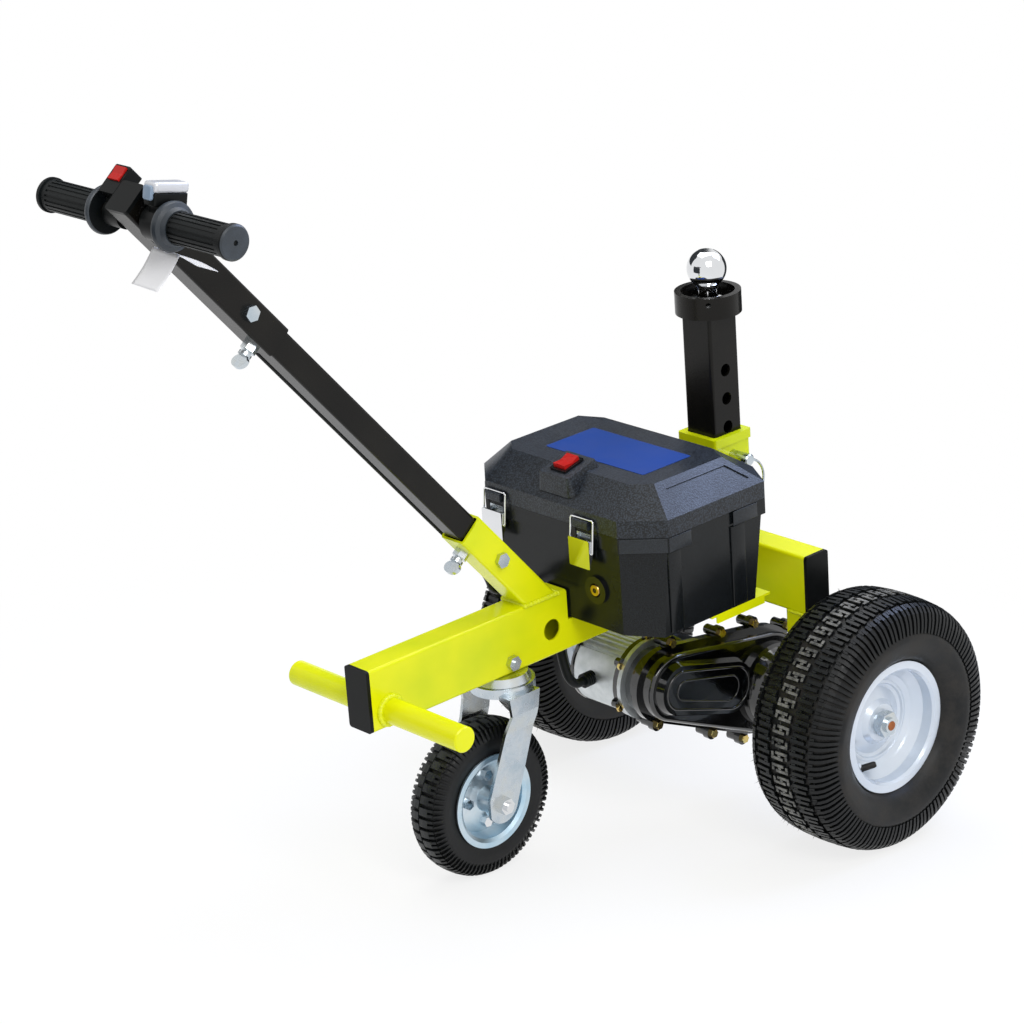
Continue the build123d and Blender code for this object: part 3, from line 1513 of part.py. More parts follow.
# Motor: finned aluminium barrel across the frame, ahead of the axle
fin_depth = 3.0
fin_width = 5.0
flange_thickness = 8.0
lug_count = 6
lug_radius = 6.0
lug_circle = 54.0
gland_radius = 9.5
gland_length = 20.0
gland_y = 18.0
gland_z = motor_z + 4.0
gland_seat = Plane((motor_x - motor_radius + fin_depth + 3.0, gland_y, gland_z), x_dir=(0, -1, 0), z_dir=(-1, 0, 0))
with BuildPart() as motor_body:
    with BuildSketch(facing(motor_near, 1, motor_x, motor_z)):
        Circle(motor_radius - fin_depth)
        with PolarLocations(motor_radius - fin_depth, fin_count):
            Rectangle(2 * fin_depth, fin_width)
    extrude(amount=motor_far - motor_near)
    with BuildSketch(gland_seat):
        Circle(gland_radius)
    extrude(amount=gland_length, mode=Mode.SUBTRACT)
keep("motor_body", motor_body.part)

with BuildPart() as motor_end:
    with BuildSketch(facing(motor_far, 1, motor_x, motor_z)):
        Circle(motor_radius + 0.5)
    extrude(amount=motor_cap_depth)
    fillet(motor_end.faces().sort_by(Axis.Y)[-1].edges(), 4.0)
keep("motor_end_cap", motor_end.part)

with BuildPart() as motor_flange:
    with BuildSketch(facing(motor_near, -1, motor_x, motor_z)):
        Circle(motor_radius + 2.5)
        with PolarLocations(lug_circle, lug_count, start_angle=20):
            Circle(lug_radius)
    extrude(amount=flange_thickness)
keep("motor_flange", motor_flange.part)

with BuildPart() as adapter_ring:
    with BuildSketch(facing(motor_near - flange_thickness, -1, motor_x, motor_z)):
        Circle(ring_radius)
    extrude(amount=motor_near - flange_thickness - case_back)
keep("adapter_ring", adapter_ring.part)

# Gear case: two halves bolted on a flange, wrapped round the motor shaft and the axle
case_flange = 6.0
flange_half_thickness = 4.5
cover_inset = 14.0
cover_depth = 10.0
cover_taper = 20.0
case_bolt_places = (
    (-155.0, 104.0), (-66.0, 88.0), (-5.0, 81.0), (58.0, 56.0), (-186.0, 2.0), (-89.0, -45.0), (-33.0, -73.0),
)
case_lug_radius = 9.0
case_bolt_across = 10.0
case_bolt_radius = 3.0
case_bolt_head = 5.0


def case_outline(inset):
    """Face of the gear case drawn in by an amount: a hull round the motor shaft and the axle."""
    with BuildSketch(Plane.XY, mode=Mode.PRIVATE) as outline:
        with Locations((motor_x, motor_z)):
            Circle(case_motor_radius - inset)
        Circle(case_axle_radius - inset)
        make_hull()
    return outline.sketch


with BuildPart() as gear_case:
    with BuildSketch(side(case_back)):
        add(case_outline(case_flange))
        Circle(axle_tube_radius, mode=Mode.SUBTRACT)
    extrude(amount=case_back - case_front)
    with BuildSketch(side(case_split + flange_half_thickness)):
        add(case_outline(0.0))
        with Locations(*case_bolt_places):
            Circle(case_lug_radius)
        with Locations(*case_bolt_places):
            Circle(case_bolt_radius, mode=Mode.SUBTRACT)
        Circle(axle_tube_radius, mode=Mode.SUBTRACT)
    extrude(amount=2 * flange_half_thickness)
    fillet(gear_case.faces().sort_by(Axis.Y)[0].outer_wire().edges(), 5.0)
keep("gear_case", gear_case.part)

with BuildPart() as gear_cover:
    with BuildSketch(side(case_front)):
        with Locations((motor_x, motor_z)):
            Circle(case_motor_radius - cover_inset)
        with Locations((motor_x * 0.45, motor_z * 0.45)):
            Circle(case_axle_radius - cover_inset - 22.0)
        make_hull()
        Circle(axle_tube_radius + 31.0, mode=Mode.SUBTRACT)
    extrude(amount=cover_depth, taper=cover_taper)
keep("gear_cover", gear_cover.part)

transaxle_bolts = []
for place in case_bolt_places:
    transaxle_bolts.append(hex_bolt(facing(case_split - flange_half_thickness, -1, *place),
                                    case_bolt_across, case_bolt_head, case_bolt_radius,
                                    2 * flange_half_thickness))
keep("transaxle_bolts", *transaxle_bolts)

# Axle housing: a bell beside the gear case that narrows to the axle tube, on both hands
bell_radius = 56.0
bell_end = -108.0
bell_neck = -130.0
tube_end = 222.0
bush_depth = 40.0
axle_housings = []
with BuildPart() as near_housing:
    with BuildSketch(wheel_section((0, 0, 0), -1)):
        with BuildLine():
            Polyline(
                (-case_front, 0),
                (-case_front, bell_radius),
                (-case_front + 6.0, bell_radius),
                (-case_front + 9.0, bell_radius - 4.0),
            )
            ThreePointArc(
                (-case_front + 9.0, bell_radius - 4.0),
                (-bell_end, bell_radius - 9.0),
                (-bell_neck, axle_tube_radius),
            )
            Polyline((-bell_neck, axle_tube_radius), (tube_end, axle_tube_radius), (tube_end, 0), (-case_front, 0))
        make_face()
    revolve(axis=Axis((0, 0, 0), (0, 1, 0)))
    with BuildSketch(facing(-tube_end, 1)):
        Circle(shaft_radius + running)
    extrude(amount=tube_end - shaft_inner + 0.5, mode=Mode.SUBTRACT)
axle_housings.append(near_housing.part)
with BuildPart() as far_housing:
    with BuildSketch(facing(case_front, 1)):
        Circle(axle_tube_radius)
    extrude(amount=tube_end - case_front)
    with BuildSketch(facing(tube_end, -1)):
        Circle(shaft_radius + running)
    extrude(amount=tube_end - shaft_inner + 0.5, mode=Mode.SUBTRACT)
axle_housings.append(far_housing.part)
keep("axle_housings", *axle_housings)

# Motor cable: ribbed gland on the motor and a conduit up into the tub's floor
conduit_radius = 6.0
gland_rib_pitch = 3.5
gland_rib_groove = 1.5
with BuildPart() as motor_gland:
    with BuildSketch(gland_seat):
        Circle(gland_radius)
    extrude(amount=gland_length)
    for step in range(4):
        with BuildSketch(gland_seat.offset(5.0 + gland_rib_pitch * step)):
            Circle(gland_radius)
            Circle(gland_radius - 1.5, mode=Mode.SUBTRACT)
        extrude(amount=gland_rib_groove, mode=Mode.SUBTRACT)
keep("motor_gland", motor_gland.part)

conduit_start = gland_seat.origin.X - gland_length
conduit_bow = 23.0
conduit_side = 32.0
conduit_rise = box_bottom - gland_z
conduit_route = (
    (0.0, 0.0, 0.0),
    (0.57, 0.0, 0.0),
    (0.96, 0.06, 0.09),
    (1.0, 0.25, 0.22),
    (0.87, 0.62, 0.48),
    (0.74, 1.0, 0.72),
    (0.74, 1.0, 1.0),
)
conduit_points = [
    Vector(conduit_start - conduit_bow * bow, gland_y + conduit_side * across, gland_z + conduit_rise * rise)
    for bow, across, rise in conduit_route
]
keep("motor_conduit", cord("motor conduit", conduit_points, conduit_radius))

# Set the dolly down: it leans on its wheels, nose down, about the drive axle
nose_drop = asin((tyre_radius - caster_tyre_radius) / hypot(caster_axle_x, caster_axle_z))
lean = nose_drop + atan2(caster_axle_z, -caster_axle_x)


def stance(shift):
    """Plane that the frame's own axes lie in once the wheels stand on the ground."""
    return Plane((shift, 0, tyre_radius), x_dir=(cos(lean), 0, sin(lean)), z_dir=(-sin(lean), 0, cos(lean)))


reach = Compound([piece.moved(stance(0.0).location) for piece in pieces.values()]).bounding_box()
origin_shift = -(reach.min.X + reach.max.X) / 2

os.makedirs("parts", exist_ok=True)
for label, piece in pieces.items():
    standing = piece.moved(stance(origin_shift).location)
    standing.label = label
    export_step(standing, f"parts/{label}.step")
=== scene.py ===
import json
import math
from functools import cache

import bmesh
import bpy
from bpy.props import FloatProperty, FloatVectorProperty, IntProperty, PointerProperty
from mathutils import Matrix, Vector


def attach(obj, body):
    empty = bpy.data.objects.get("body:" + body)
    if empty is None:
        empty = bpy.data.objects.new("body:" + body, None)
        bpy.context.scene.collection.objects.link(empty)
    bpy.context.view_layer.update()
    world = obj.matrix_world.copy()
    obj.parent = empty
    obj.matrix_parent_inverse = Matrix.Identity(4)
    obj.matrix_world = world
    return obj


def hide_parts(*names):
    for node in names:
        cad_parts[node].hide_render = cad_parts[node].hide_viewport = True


bl_info = {
    "name": "Electric Trailer Dolly",
    "version": (1, 0, 0),
    "blender": (4, 5, 0),
    "location": "View3D > Sidebar > Dolly",
    "description": "Dresses the packed trailer dolly: paint, plating, tyre tread, welds, label and studio",
    "category": "Object",
}

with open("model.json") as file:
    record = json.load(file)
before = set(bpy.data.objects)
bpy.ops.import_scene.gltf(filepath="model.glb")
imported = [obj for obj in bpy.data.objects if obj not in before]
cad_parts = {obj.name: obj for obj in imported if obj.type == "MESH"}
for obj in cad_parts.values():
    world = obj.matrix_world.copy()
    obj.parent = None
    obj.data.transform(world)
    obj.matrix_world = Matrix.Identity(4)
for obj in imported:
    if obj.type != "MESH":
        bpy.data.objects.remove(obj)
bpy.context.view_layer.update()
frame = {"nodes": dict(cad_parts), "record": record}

# The dolly is drawn level, in millimetres from the middle of the drive axle. It stands on its wheels
# nose down, so every piece built here is set down by the same lean and shift as the frame.
LEAN = math.radians(5.275972577900585)
SHIFT = 0.3932377701236012
AXLE_HEIGHT = 0.165
SET_DOWN = (Matrix.Translation((SHIFT, 0, AXLE_HEIGHT)) @ Matrix.Rotation(-LEAN, 4, "Y")
            @ Matrix.Scale(0.001, 4))

# Points nearer than this, in metres, are one
SAME_PLACE = 0.000001

# Middles of the handlebar, the motor, the gear case's bolts and the wheels
BAR = (-847.06, 0.0, 819.12)
MOTOR = (-170.0, 52.0)
CASE_BOLTS = ((-155.0, 104.0), (-66.0, 88.0), (-5.0, 81.0), (58.0, 56.0), (-186.0, 2.0),
              (-89.0, -45.0), (-33.0, -73.0))
HALF_TRACK = 255.0
CASTER_AXLE = (-435.0, 0.0, -23.5)

# Outside of each tyre as (width from the middle, radius), from the crown round to the bead
DRIVE_PROFILE = (
    (0, 165), (20, 164.4), (40, 162.5), (48.5, 159.8), (55, 155.5), (59.5, 148.5), (62, 139),
    (63.6, 130), (64, 121), (62.5, 110), (58, 99), (51, 91), (43, 87), (43, 76.2))
CASTER_PROFILE = (
    (0, 101.6), (7, 101.3), (12, 100.8), (17.5, 98.9), (21.5, 95.6), (24, 90), (25, 82.6),
    (24.2, 73), (22.5, 66), (22, 62), (22, 52))

# Bars of the drive tyres' tread as (start, end) along the tread and (start, end) across it
CROWN_BARS = ((-5.9, -1.6, -13.0, 6.0), (1.6, 5.9, -6.0, 13.0), (-1.6, 4.2, -13.0, -9.5),
              (-4.2, 1.6, 9.5, 13.0), (-1.6, 1.6, -2.0, 2.0))
HOOK_BARS = ((-6.6, -1.4, 17.0, 38.0), (1.6, 6.8, 20.0, 41.5), (-1.4, 1.6, 20.0, 26.0))

# Outlines of turned pieces as (distance along the axis, radius)
THROTTLE_CLAMP = ((-25.0, 11.2), (-25.0, 18.5), (-26.5, 20.0), (-53.0, 20.0), (-54.6, 18.5), (-54.6, 11.2))
GRIP_FLANGE = ((55.2, 11.3), (55.2, 25.0), (57.0, 27.4), (60.5, 28.0), (64.0, 26.4), (66.0, 22.0),
               (71.0, 19.2), (71.0, 11.3))
GRIP_END = ((162.0, 3.0), (162.0, 19.2), (165.6, 19.4), (167.6, 17.6), (168.0, 12.0), (168.0, 3.0))
SOCKET_RING = ((0.0, 3.2), (0.0, 7.0), (1.2, 7.6), (2.6, 7.0), (2.6, 3.2))
MOTOR_CAP = ((50.0, 0.0), (50.0, 50.3), (52.0, 50.8), (56.0, 50.3), (60.0, 46.0), (61.0, 0.0))
BOLT_SLEEVE = ((-55.0, 3.2), (-55.0, 6.6), (-40.0, 6.6), (-38.2, 5.0), (-38.2, 3.2))
RIM_RIDGE = ((266.0, 47.5), (269.6, 49.5), (270.2, 51.5), (269.8, 53.5), (267.0, 55.0))
VALVE_STEM = ((-3.0, 0.0), (-3.0, 7.4), (1.0, 7.0), (4.0, 5.2), (8.0, 4.4), (21.5, 4.2), (24.0, 3.2),
              (24.4, 0.0))
AXLE_END = ((294.2, 0.0), (294.2, 6.5), (295.2, 6.0), (295.6, 0.0))

# Hang tag: one leaf over the tube, one hanging off it, each by its corners, on a cotton loop
TAG_FRONT = ((-845.0, -16.0, 789.5), (-845.0, -63.0, 787.5), (-879.0, -63.0, 755.5), (-878.0, -16.0, 756.5))
TAG_BACK = ((-844.4, -63.0, 787.7), (-844.4, -16.0, 789.7), (-806.0, -38.0, 762.0), (-812.0, -84.0, 765.0))
TAG_LOOP = (
    (-847.0, -40.0, 788.0), (-852.0, -39.0, 794.0), (-858.0, -33.0, 804.0), (-862.0, -28.0, 815.0),
    (-856.0, -24.0, 832.0), (-846.0, -22.0, 838.0), (-836.0, -22.0, 830.0), (-836.0, -28.0, 810.0),
    (-843.0, -36.0, 797.0), (-846.0, -40.0, 789.5))

# Studio, in metres: lamps as (name, place, aim, size, watts, tint), and dark cards as (name, two corners
# seen from above, lowest, highest)
LAMPS = (("key", (-1.0, -2.25, 2.6), (0.1, 0, 0.3), 1.6, 49.0, "#FFFFFF"),
         ("top", (0.5, 0.9, 3.0), (0.1, 0, 0.3), 2.2, 34.0, "#FFFFFF"),
         ("side", (1.75, -0.4, 2.35), (-0.1, -0.1, 0.45), 1.3, 40.0, "#B8CDFF"))
CARDS = (("back_card", (1.6, 1.3), (-0.5, 1.3), 0.85, 2.2),
         ("left_card", (-1.5, 1.3), (-1.5, -0.2), 0.02, 1.1),
         ("right_card", (1.6, -0.2), (1.6, 1.3), 0.02, 1.1))
FLOOR_REACH = 9
CAMERA_PLACE = (-2.53891, -2.78881, 1.63942)
CAMERA_TURN = (math.radians(72.66), 0, math.radians(-42.49))
CAMERA_LENS = 114.245
CAMERA_SENSOR = 36.0


def linear(code):
    """sRGB hex colour as a linear red, green, blue and alpha."""
    parts = [int(code[place:place + 2], 16) / 255 for place in (1, 3, 5)]
    return [part / 12.92 if part <= 0.04045 else ((part + 0.055) / 1.055) ** 2.4 for part in parts] + [1.0]


def add(tree, kind, inputs=None, stops=(), **settings):
    """Adds one node: its settings, its input values or links, and the hex colours along its ramp."""
    made = tree.nodes.new(kind)
    for name, value in settings.items():
        setattr(made, name, value)
    for name, value in (inputs or {}).items():
        if isinstance(value, bpy.types.Node):
            value = value.outputs[0]
        if isinstance(value, bpy.types.NodeSocket):
            tree.links.new(value, made.inputs[name])
        else:
            made.inputs[name].default_value = value
    if stops:
        elements = made.color_ramp.elements
        while len(elements) < len(stops):
            elements.new(0.5)
        for element, (place, code) in zip(elements, stops):
            element.position = place
            element.color = linear(code)
    return made


def new_finish(name, specular=0.5, **values):
    """Empty finish: its tree, its shader with plain values set, and the piece's own coordinates."""
    finish = bpy.data.materials.new(name)
    finish.use_nodes = True
    tree = finish.node_tree
    shader = tree.nodes["Principled BSDF"]
    shader.inputs["Specular IOR Level"].default_value = specular
    for label, value in values.items():
        shader.inputs[label.replace("_", " ")].default_value = value
    return finish, tree, shader, add(tree, "ShaderNodeTexCoord").outputs["Object"]


def surface(name, tint, dull, rise, stops, spread, shine, strength, depth, **values):
    """Finish of three patterns: one tints it, one dulls it, and one raises it by a depth in metres.

    A pattern is a noise, as its features to the metre, its detail and its roughness, or pebbles, as
    their size in millimetres. The spread of the dulling pattern becomes the shine, a range of roughness.
    """
    finish, tree, shader, place = new_finish(name, **values)
    made = {}
    for pattern in (tint, dull, rise):
        if pattern in made:
            continue
        if isinstance(pattern, tuple):
            scale, detail, rough = pattern
            made[pattern] = add(tree, "ShaderNodeTexNoise", {
                "Vector": place, "Scale": scale, "Detail": detail, "Roughness": rough})
        else:
            made[pattern] = add(tree, "ShaderNodeTexVoronoi", {
                "Vector": place, "Scale": 1000.0 / pattern}, feature="SMOOTH_F1")
    tone = add(tree, "ShaderNodeValToRGB", {"Fac": made[tint]}, stops)
    wear_and_highlight = add(tree, "ShaderNodeMapRange", {
        "Value": made[dull], "From Min": spread[0], "From Max": spread[1], "To Min": shine[0],
        "To Max": shine[1]})
    relief = add(tree, "ShaderNodeBump", {"Height": made[rise], "Strength": strength, "Distance": depth})
    for label, made_by in (("Base Color", tone), ("Roughness", wear_and_highlight), ("Normal", relief)):
        tree.links.new(made_by.outputs[0], shader.inputs[label])
    return finish


def powder_coat(name, colour, painted_shade, roughness, specular=0.5, coat=0.0, metallic=0.0):
    """Polyester powder coat, sprayed dry and baked: an even gloss over a fine orange peel of about 2 mm."""
    drift, peel = (9.0, 3.0, 0.5), (480.0, 1.0, 0.5)
    shine = (roughness - 0.05, roughness + 0.06)
    # Broad random patches mix the colour with a painted shade, a darker shaded copy of it
    return surface(name, drift, drift, peel, ((0.35, painted_shade), (0.6, colour)), (0.0, 1.0), shine, 0.1,
                   0.0006, IOR=1.5, specular=specular, Coat_Weight=coat, Metallic=metallic)


def plated(name, stops, roughness, cloud, depth):
    """Plated steel: the plating's tint drifts in clouds, and handling leaves duller patches."""
    clouds, scuffs = (cloud, 4.0, 0.6), (110.0, 3.0, 0.5)
    shine = (roughness * 0.85, roughness * 1.25)
    return surface(name, clouds, scuffs, scuffs, stops, (0.3, 0.75), shine, 0.1, depth, Metallic=1.0)


def moulded(name, colour, light, roughness, grain, depth, specular=0.5, metallic=0.0):
    """Moulded plastic or rubber: spark-eroded mould grain, with paler high spots where it is handled."""
    bloom = (14.0, 5.0, 0.65)
    shine = (roughness - 0.05, roughness + 0.08)
    return surface(name, bloom, bloom, grain, ((0.4, colour), (0.72, light)), (0.3, 0.7), shine, 0.5,
                   depth, IOR=1.49, specular=specular, Metallic=metallic)


def pebbled(name, colour, painted_highlight, roughness, grain, depth, specular, sheen=0.0):
    """Moulded plastic with a pebble grain of 1 to 2 mm, whose rounded tops get a bluish painted highlight.
    """
    rubbed = (11.0, 4.0, 0.5)
    shine = (roughness - 0.06, roughness + 0.06)
    # The pebbles' tops take the painted highlight colour; the hollows between them keep the plastic's own
    # colour
    return surface(name, grain, rubbed, grain, ((0.05, painted_highlight), (0.55, colour)), (0.35, 0.65), shine, 0.6,
                   -depth, IOR=1.5, specular=specular, Sheen_Weight=sheen, Sheen_Tint=linear("#7F9BD0"))


def side_wall(name, dark, dusty):
    """Tyre side wall: smooth black rubber with a dry brown-grey bloom of road dust."""
    dust, speck = (26.0, 6.0, 0.7), (700.0, 2.0, 0.5)
    return surface(name, dust, dust, speck, ((0.42, dark), (0.68, dusty)), (0.3, 0.7), (0.34, 0.62), 0.25,
                   0.0004, IOR=1.5, specular=0.3)


def tread_rubber(name, centre, crown, depth, crown_row, painted_highlight):
    """Tyre tread: soot black in the grooves, and a pale painted highlight, mottled with dust, on the tops of
    the crown row, which are a little shiny.
    """
    finish, tree, shader, place = new_finish(name, specular=0.3, IOR=1.5)
    away = add(tree, "ShaderNodeVectorMath", {0: place, 1: set_down(centre)}, operation="SUBTRACT")
    flat = add(tree, "ShaderNodeVectorMath", {0: away, 1: (1, 0, 1)}, operation="MULTIPLY")
    reach = add(tree, "ShaderNodeVectorMath", {0: flat}, operation="LENGTH").outputs["Value"]
    # Height in the tread, from the groove floor to the block top, which sets the painted highlight
    wear_and_highlight = add(tree, "ShaderNodeMapRange", {
        "Value": reach, "From Min": (crown - depth) / 1000, "From Max": crown / 1000})
    dust = add(tree, "ShaderNodeTexNoise", {
        "Vector": place, "Scale": 60.0, "Detail": 5.0, "Roughness": 0.7})
    mottle = add(tree, "ShaderNodeMapRange", {
        "Value": dust, "From Min": 0.3, "From Max": 0.7, "To Min": 0.6, "To Max": 1.1})
    share = add(tree, "ShaderNodeMath", {0: wear_and_highlight, 1: mottle}, operation="MULTIPLY")
    across = add(tree, "ShaderNodeSeparateXYZ", {"Vector": away}).outputs["Y"]
    side = add(tree, "ShaderNodeMath", {0: across}, operation="ABSOLUTE")
    middle_row = add(tree, "ShaderNodeMapRange", {
        "Value": side, "From Min": crown_row / 1000, "From Max": (crown_row + 2.0) / 1000,
        "To Min": 1.0, "To Max": 0.55})
    share = add(tree, "ShaderNodeMath", {0: share, 1: middle_row}, operation="MULTIPLY")
    # Block tops get the painted highlight colour, strongest on the crown row and mottled with dust; the
    # grooves keep the rubber's black
    tone = add(tree, "ShaderNodeValToRGB", {"Fac": share},
               ((0.1, "#090B0C"), (0.6, "#191C1D"), (0.95, painted_highlight)))
    shine = add(tree, "ShaderNodeMapRange", {"Value": dust, "To Min": 0.28, "To Max": 0.55})
    tree.links.new(tone.outputs[0], shader.inputs["Base Color"])
    tree.links.new(shine.outputs[0], shader.inputs["Roughness"])
    return finish


def label_film(name):
    """Printed polyester film: even blue with faint clouds, under a clear gloss."""
    finish, tree, shader, place = new_finish(name, specular=0.12, IOR=1.5, Roughness=0.4)
    screen = add(tree, "ShaderNodeTexNoise", {"Vector": place, "Scale": 22.0, "Detail": 2.0})
    colour = bpy.context.scene.dolly_colours.label
    pale = [channel * 0.8 + 0.02 for channel in colour[:3]] + [1.0]
    film = add(tree, "ShaderNodeMix", {"Factor": screen, "A": colour, "B": pale}, data_type="RGBA")
    tree.links.new(film.outputs["Result"], shader.inputs["Base Color"])
    return finish


# Each slot's finish: its common name, then what its maker takes. Grain is in millimetres, depth in metres.
FINISHES = {
    powder_coat: {
        # Lime powder coat on welded steel: glossy; its lit colour drifts at random into a greener painted
        # shade of itself
        "frame_paint": ("lime powder coat", "#E3E504", "#CEDA05", 0.24, 0.3),
        # Weld metal under the lime powder coat, drifting at random into a darker painted shade of the lime
        "weld": ("powder coated weld", "#E3E816", "#BCC906", 0.2, 0.4),
        # Satin black powder coat on the handle and the post
        "black_paint": ("satin black powder coat", "#15130F", "#0A0907", 0.24, 0.2),
        # Silver-white lacquer on pressed steel rims
        "rim_paint": ("silver rim lacquer", "#D9E0E8", "#CBD4DE", 0.24, 0.5, 0.5, 0.3),
        # Gloss black enamel over cast iron
        "case_paint": ("gloss black casting enamel", "#08090A", "#040405", 0.12, 0.5, 0.8),
    },
    plated: {
        # Bright zinc: bluish silver with faint yellow clouds
        "zinc": ("bright zinc plate", ((0.3, "#A9BAC6"), (0.5, "#C6CED4"), (0.7, "#CFCFC6")), 0.24, 18.0,
                 0.00003),
        # Zinc plate with the bluer passivation of the caster's pressed wheel
        "blue_zinc": ("blue zinc plate", ((0.3, "#A9CBDF"), (0.5, "#CBDDE8"), (0.7, "#E2E8EC")), 0.36,
                      14.0, 0.00002),
        # Yellow passivated zinc on the flange bolts
        "gold_zinc": ("yellow zinc plate", ((0.3, "#B98F3C"), (0.5, "#D9BE74"), (0.7, "#BDB980")), 0.2,
                      90.0, 0.00005),
        # Bright chrome plate, almost a mirror
        "chrome": ("bright chrome plate", ((0.3, "#D9DBDD"), (0.7, "#E6E7E9")), 0.06, 12.0, 0.00001),
        # Cast aluminium, bead blasted
        "aluminium": ("blasted aluminium", ((0.3, "#D0D6D8"), (0.7, "#E2E6E8")), 0.5, 60.0, 0.00005),
        # Copper grease smeared on the axle ends: a dull orange brown
        "copper": ("copper grease on steel", ((0.3, "#8A4F2E"), (0.7, "#B9744A")), 0.4, 90.0, 0.0001),
        # Turned brass round the charge socket, warm and bright
        "brass": ("turned brass", ((0.3, "#B58E46"), (0.7, "#D8B66C")), 0.22, 60.0, 0.00003),
    },
    pebbled: {
        # Polypropylene with a pebble grain, whose sheen is bluish on top of the box, and a bluish painted
        # highlight on each pebble
        "lid_plastic": ("pebbled black polypropylene", "#0B0D0F", "#343C45", 0.34, 1.9, 0.0003, 0.4, 0.06),
        # The same plastic on the tub, with a fine low grain and more gloss
        "box_plastic": ("fine grained black polypropylene", "#090B0C", "#191E21", 0.24, 1.3, 0.00005, 0.26),
        # Corner pads of the lip, a paler grey black than the lid, with a painted highlight on the pebbles
        "tub_pad": ("rubbed black polypropylene", "#12161A", "#2B3137", 0.36, 1.1, 0.00008, 0.4),
    },
    moulded: {
        # Polyamide plugs, knobs and gauge base: near black with a soft sheen
        "plug_plastic": ("black polyamide", "#0A0C0C", "#101212", 0.32, 0.8, 0.0001, 0.14),
        # Polished mould on switch bodies: black with small clear highlights
        "switch_plastic": ("glossy black plastic", "#0A0B0C", "#101112", 0.2, 0.6, 0.00004),
        # Battery cases: matt charcoal
        "battery_case": ("battery case", "#20242B", "#2B3038", 0.45, 0.9, 0.0001),
        # Silver paint on the gauge's cover, with a fine metallic glint
        "grey_plastic": ("silver painted cover", "#CDCFD4", "#D6D8DC", 0.3, 0.5, 0.00002, 0.5, 0.3),
        # Through-coloured buttons and rocker, smooth and slightly glossy
        "blue_grey_plastic": ("blue grey button", "#7B8EA3", "#8C9DB0", 0.3, 0.5, 0.00003),
        "red_plastic": ("red rocker plastic", "#B01814", "#BE211C", 0.3, 0.5, 0.00003, 0.2),
        # Grip rubber, dull black, and its flanges, paler where hands have dried them
        "rubber": ("grip rubber", "#080B0C", "#101516", 0.42, 0.7, 0.0001, 0.2),
        "grip_flange": ("grip flange rubber", "#272D33", "#3D454E", 0.4, 0.7, 0.0001),
        # Uncoated white card and cotton, matt
        "card": ("white card", "#FAFAFC", "#FFFFFF", 0.75, 0.6, 0.00004),
    },
    side_wall: {
        # Road tyres are dustier than the caster's
        "tyre": ("tyre side wall rubber", "#0A0C0D", "#2A2723"),
        "caster_rubber": ("caster tyre rubber", "#0A0B0C", "#1B1C1D"),
    },
    tread_rubber: {
        # The drive tyres' crown rows get a grey painted highlight, the caster's hardly any
        "drive_tread_near": ("near tyre tread rubber", (0, -HALF_TRACK, 0), 165.0, 5.0, 14.0, "#7C7B76"),
        "drive_tread_far": ("far tyre tread rubber", (0, HALF_TRACK, 0), 165.0, 5.0, 14.0, "#7C7B76"),
        "caster_tread": ("caster tread rubber", CASTER_AXLE, 101.6, 9.0, 12.0, "#2B2D2E"),
    },
    label_film: {"label": ("blue label film",)},
}


@cache
def finish_of(slot):
    """The finish for a material slot, made once."""
    maker, values = next((maker, rows[slot]) for maker, rows in FINISHES.items() if slot in rows)
    return maker(*values)


def dress(mesh, finish):
    """Gives a mesh one finish."""
    mesh.materials.clear()
    mesh.materials.append(finish_of(finish))


def carry_over(*names, finish=None):
    """Gives CAD nodes the finish of their own slot, or another finish that suits them better."""
    slots = {row["node"]: row["material_slot"] for row in frame["record"]["subparts"]}
    for name in names:
        dress(frame["nodes"][name].data, finish or slots[name])


def settle(body, slot, *pieces):
    """Lets pieces ride on a body; the record's slot that they belong to is not used."""
    for piece in pieces:
        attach(piece, body)


def set_down(point):
    """Place in the row frame, in metres, of a point in the dolly's own millimetres."""
    return SET_DOWN @ Vector(point)


def new_object(name, data):
    """Object of a mesh, curve, lamp or camera, linked to the scene."""
    made = bpy.data.objects.new(name, data)
    bpy.context.scene.collection.objects.link(made)
    return made


def new_piece(name, points, faces, slot, smooth=True):
    """Piece from points in the dolly's own millimetres, set down on its wheels."""
    mesh = bpy.data.meshes.new(name)
    mesh.from_pydata([set_down(point) for point in points], [], faces, shade_flat=not smooth)
    mesh.materials.append(finish_of(slot))
    return new_object(name, mesh)


def result_of(piece):
    """Plain mesh of a piece as its modifiers or its bevel leave it."""
    return bpy.data.meshes.new_from_object(piece.evaluated_get(bpy.context.evaluated_depsgraph_get()))


def keep_result(piece):
    """Applies the piece's modifiers and leaves it a plain mesh."""
    piece.data, plain = result_of(piece), piece.data
    piece.modifiers.clear()
    bpy.data.meshes.remove(plain)


def smooth_under(mesh, degrees):
    """Shades a mesh smooth, except over edges sharper than an angle."""
    mesh.polygons.foreach_set("use_smooth", [True] * len(mesh.polygons))
    mesh.set_sharp_from_angle(angle=math.radians(degrees))


def new_tree(name, **sockets):
    """Empty Geometry Nodes tree with named inputs, and the outputs that hand these inputs on."""
    tree = bpy.data.node_groups.new(name, "GeometryNodeTree")
    tree.is_modifier = True
    for label, kind in sockets.items():
        tree.interface.new_socket(label, in_out="INPUT", socket_type="NodeSocket" + kind)
    tree.interface.new_socket("Result", in_out="OUTPUT", socket_type="NodeSocketGeometry")
    return tree, add(tree, "NodeGroupInput").outputs


def close_tree(tree, instances, finish, smooth=False):
    """Ends a tree: makes its instances real and gives them their finish."""
    real = add(tree, "GeometryNodeRealizeInstances", {"Geometry": instances})
    if smooth:
        real = add(tree, "GeometryNodeSetShadeSmooth", {"Geometry": real})
    painted = add(tree, "GeometryNodeSetMaterial", {"Geometry": real, "Material": finish})
    add(tree, "NodeGroupOutput", {"Result": painted})
    return tree


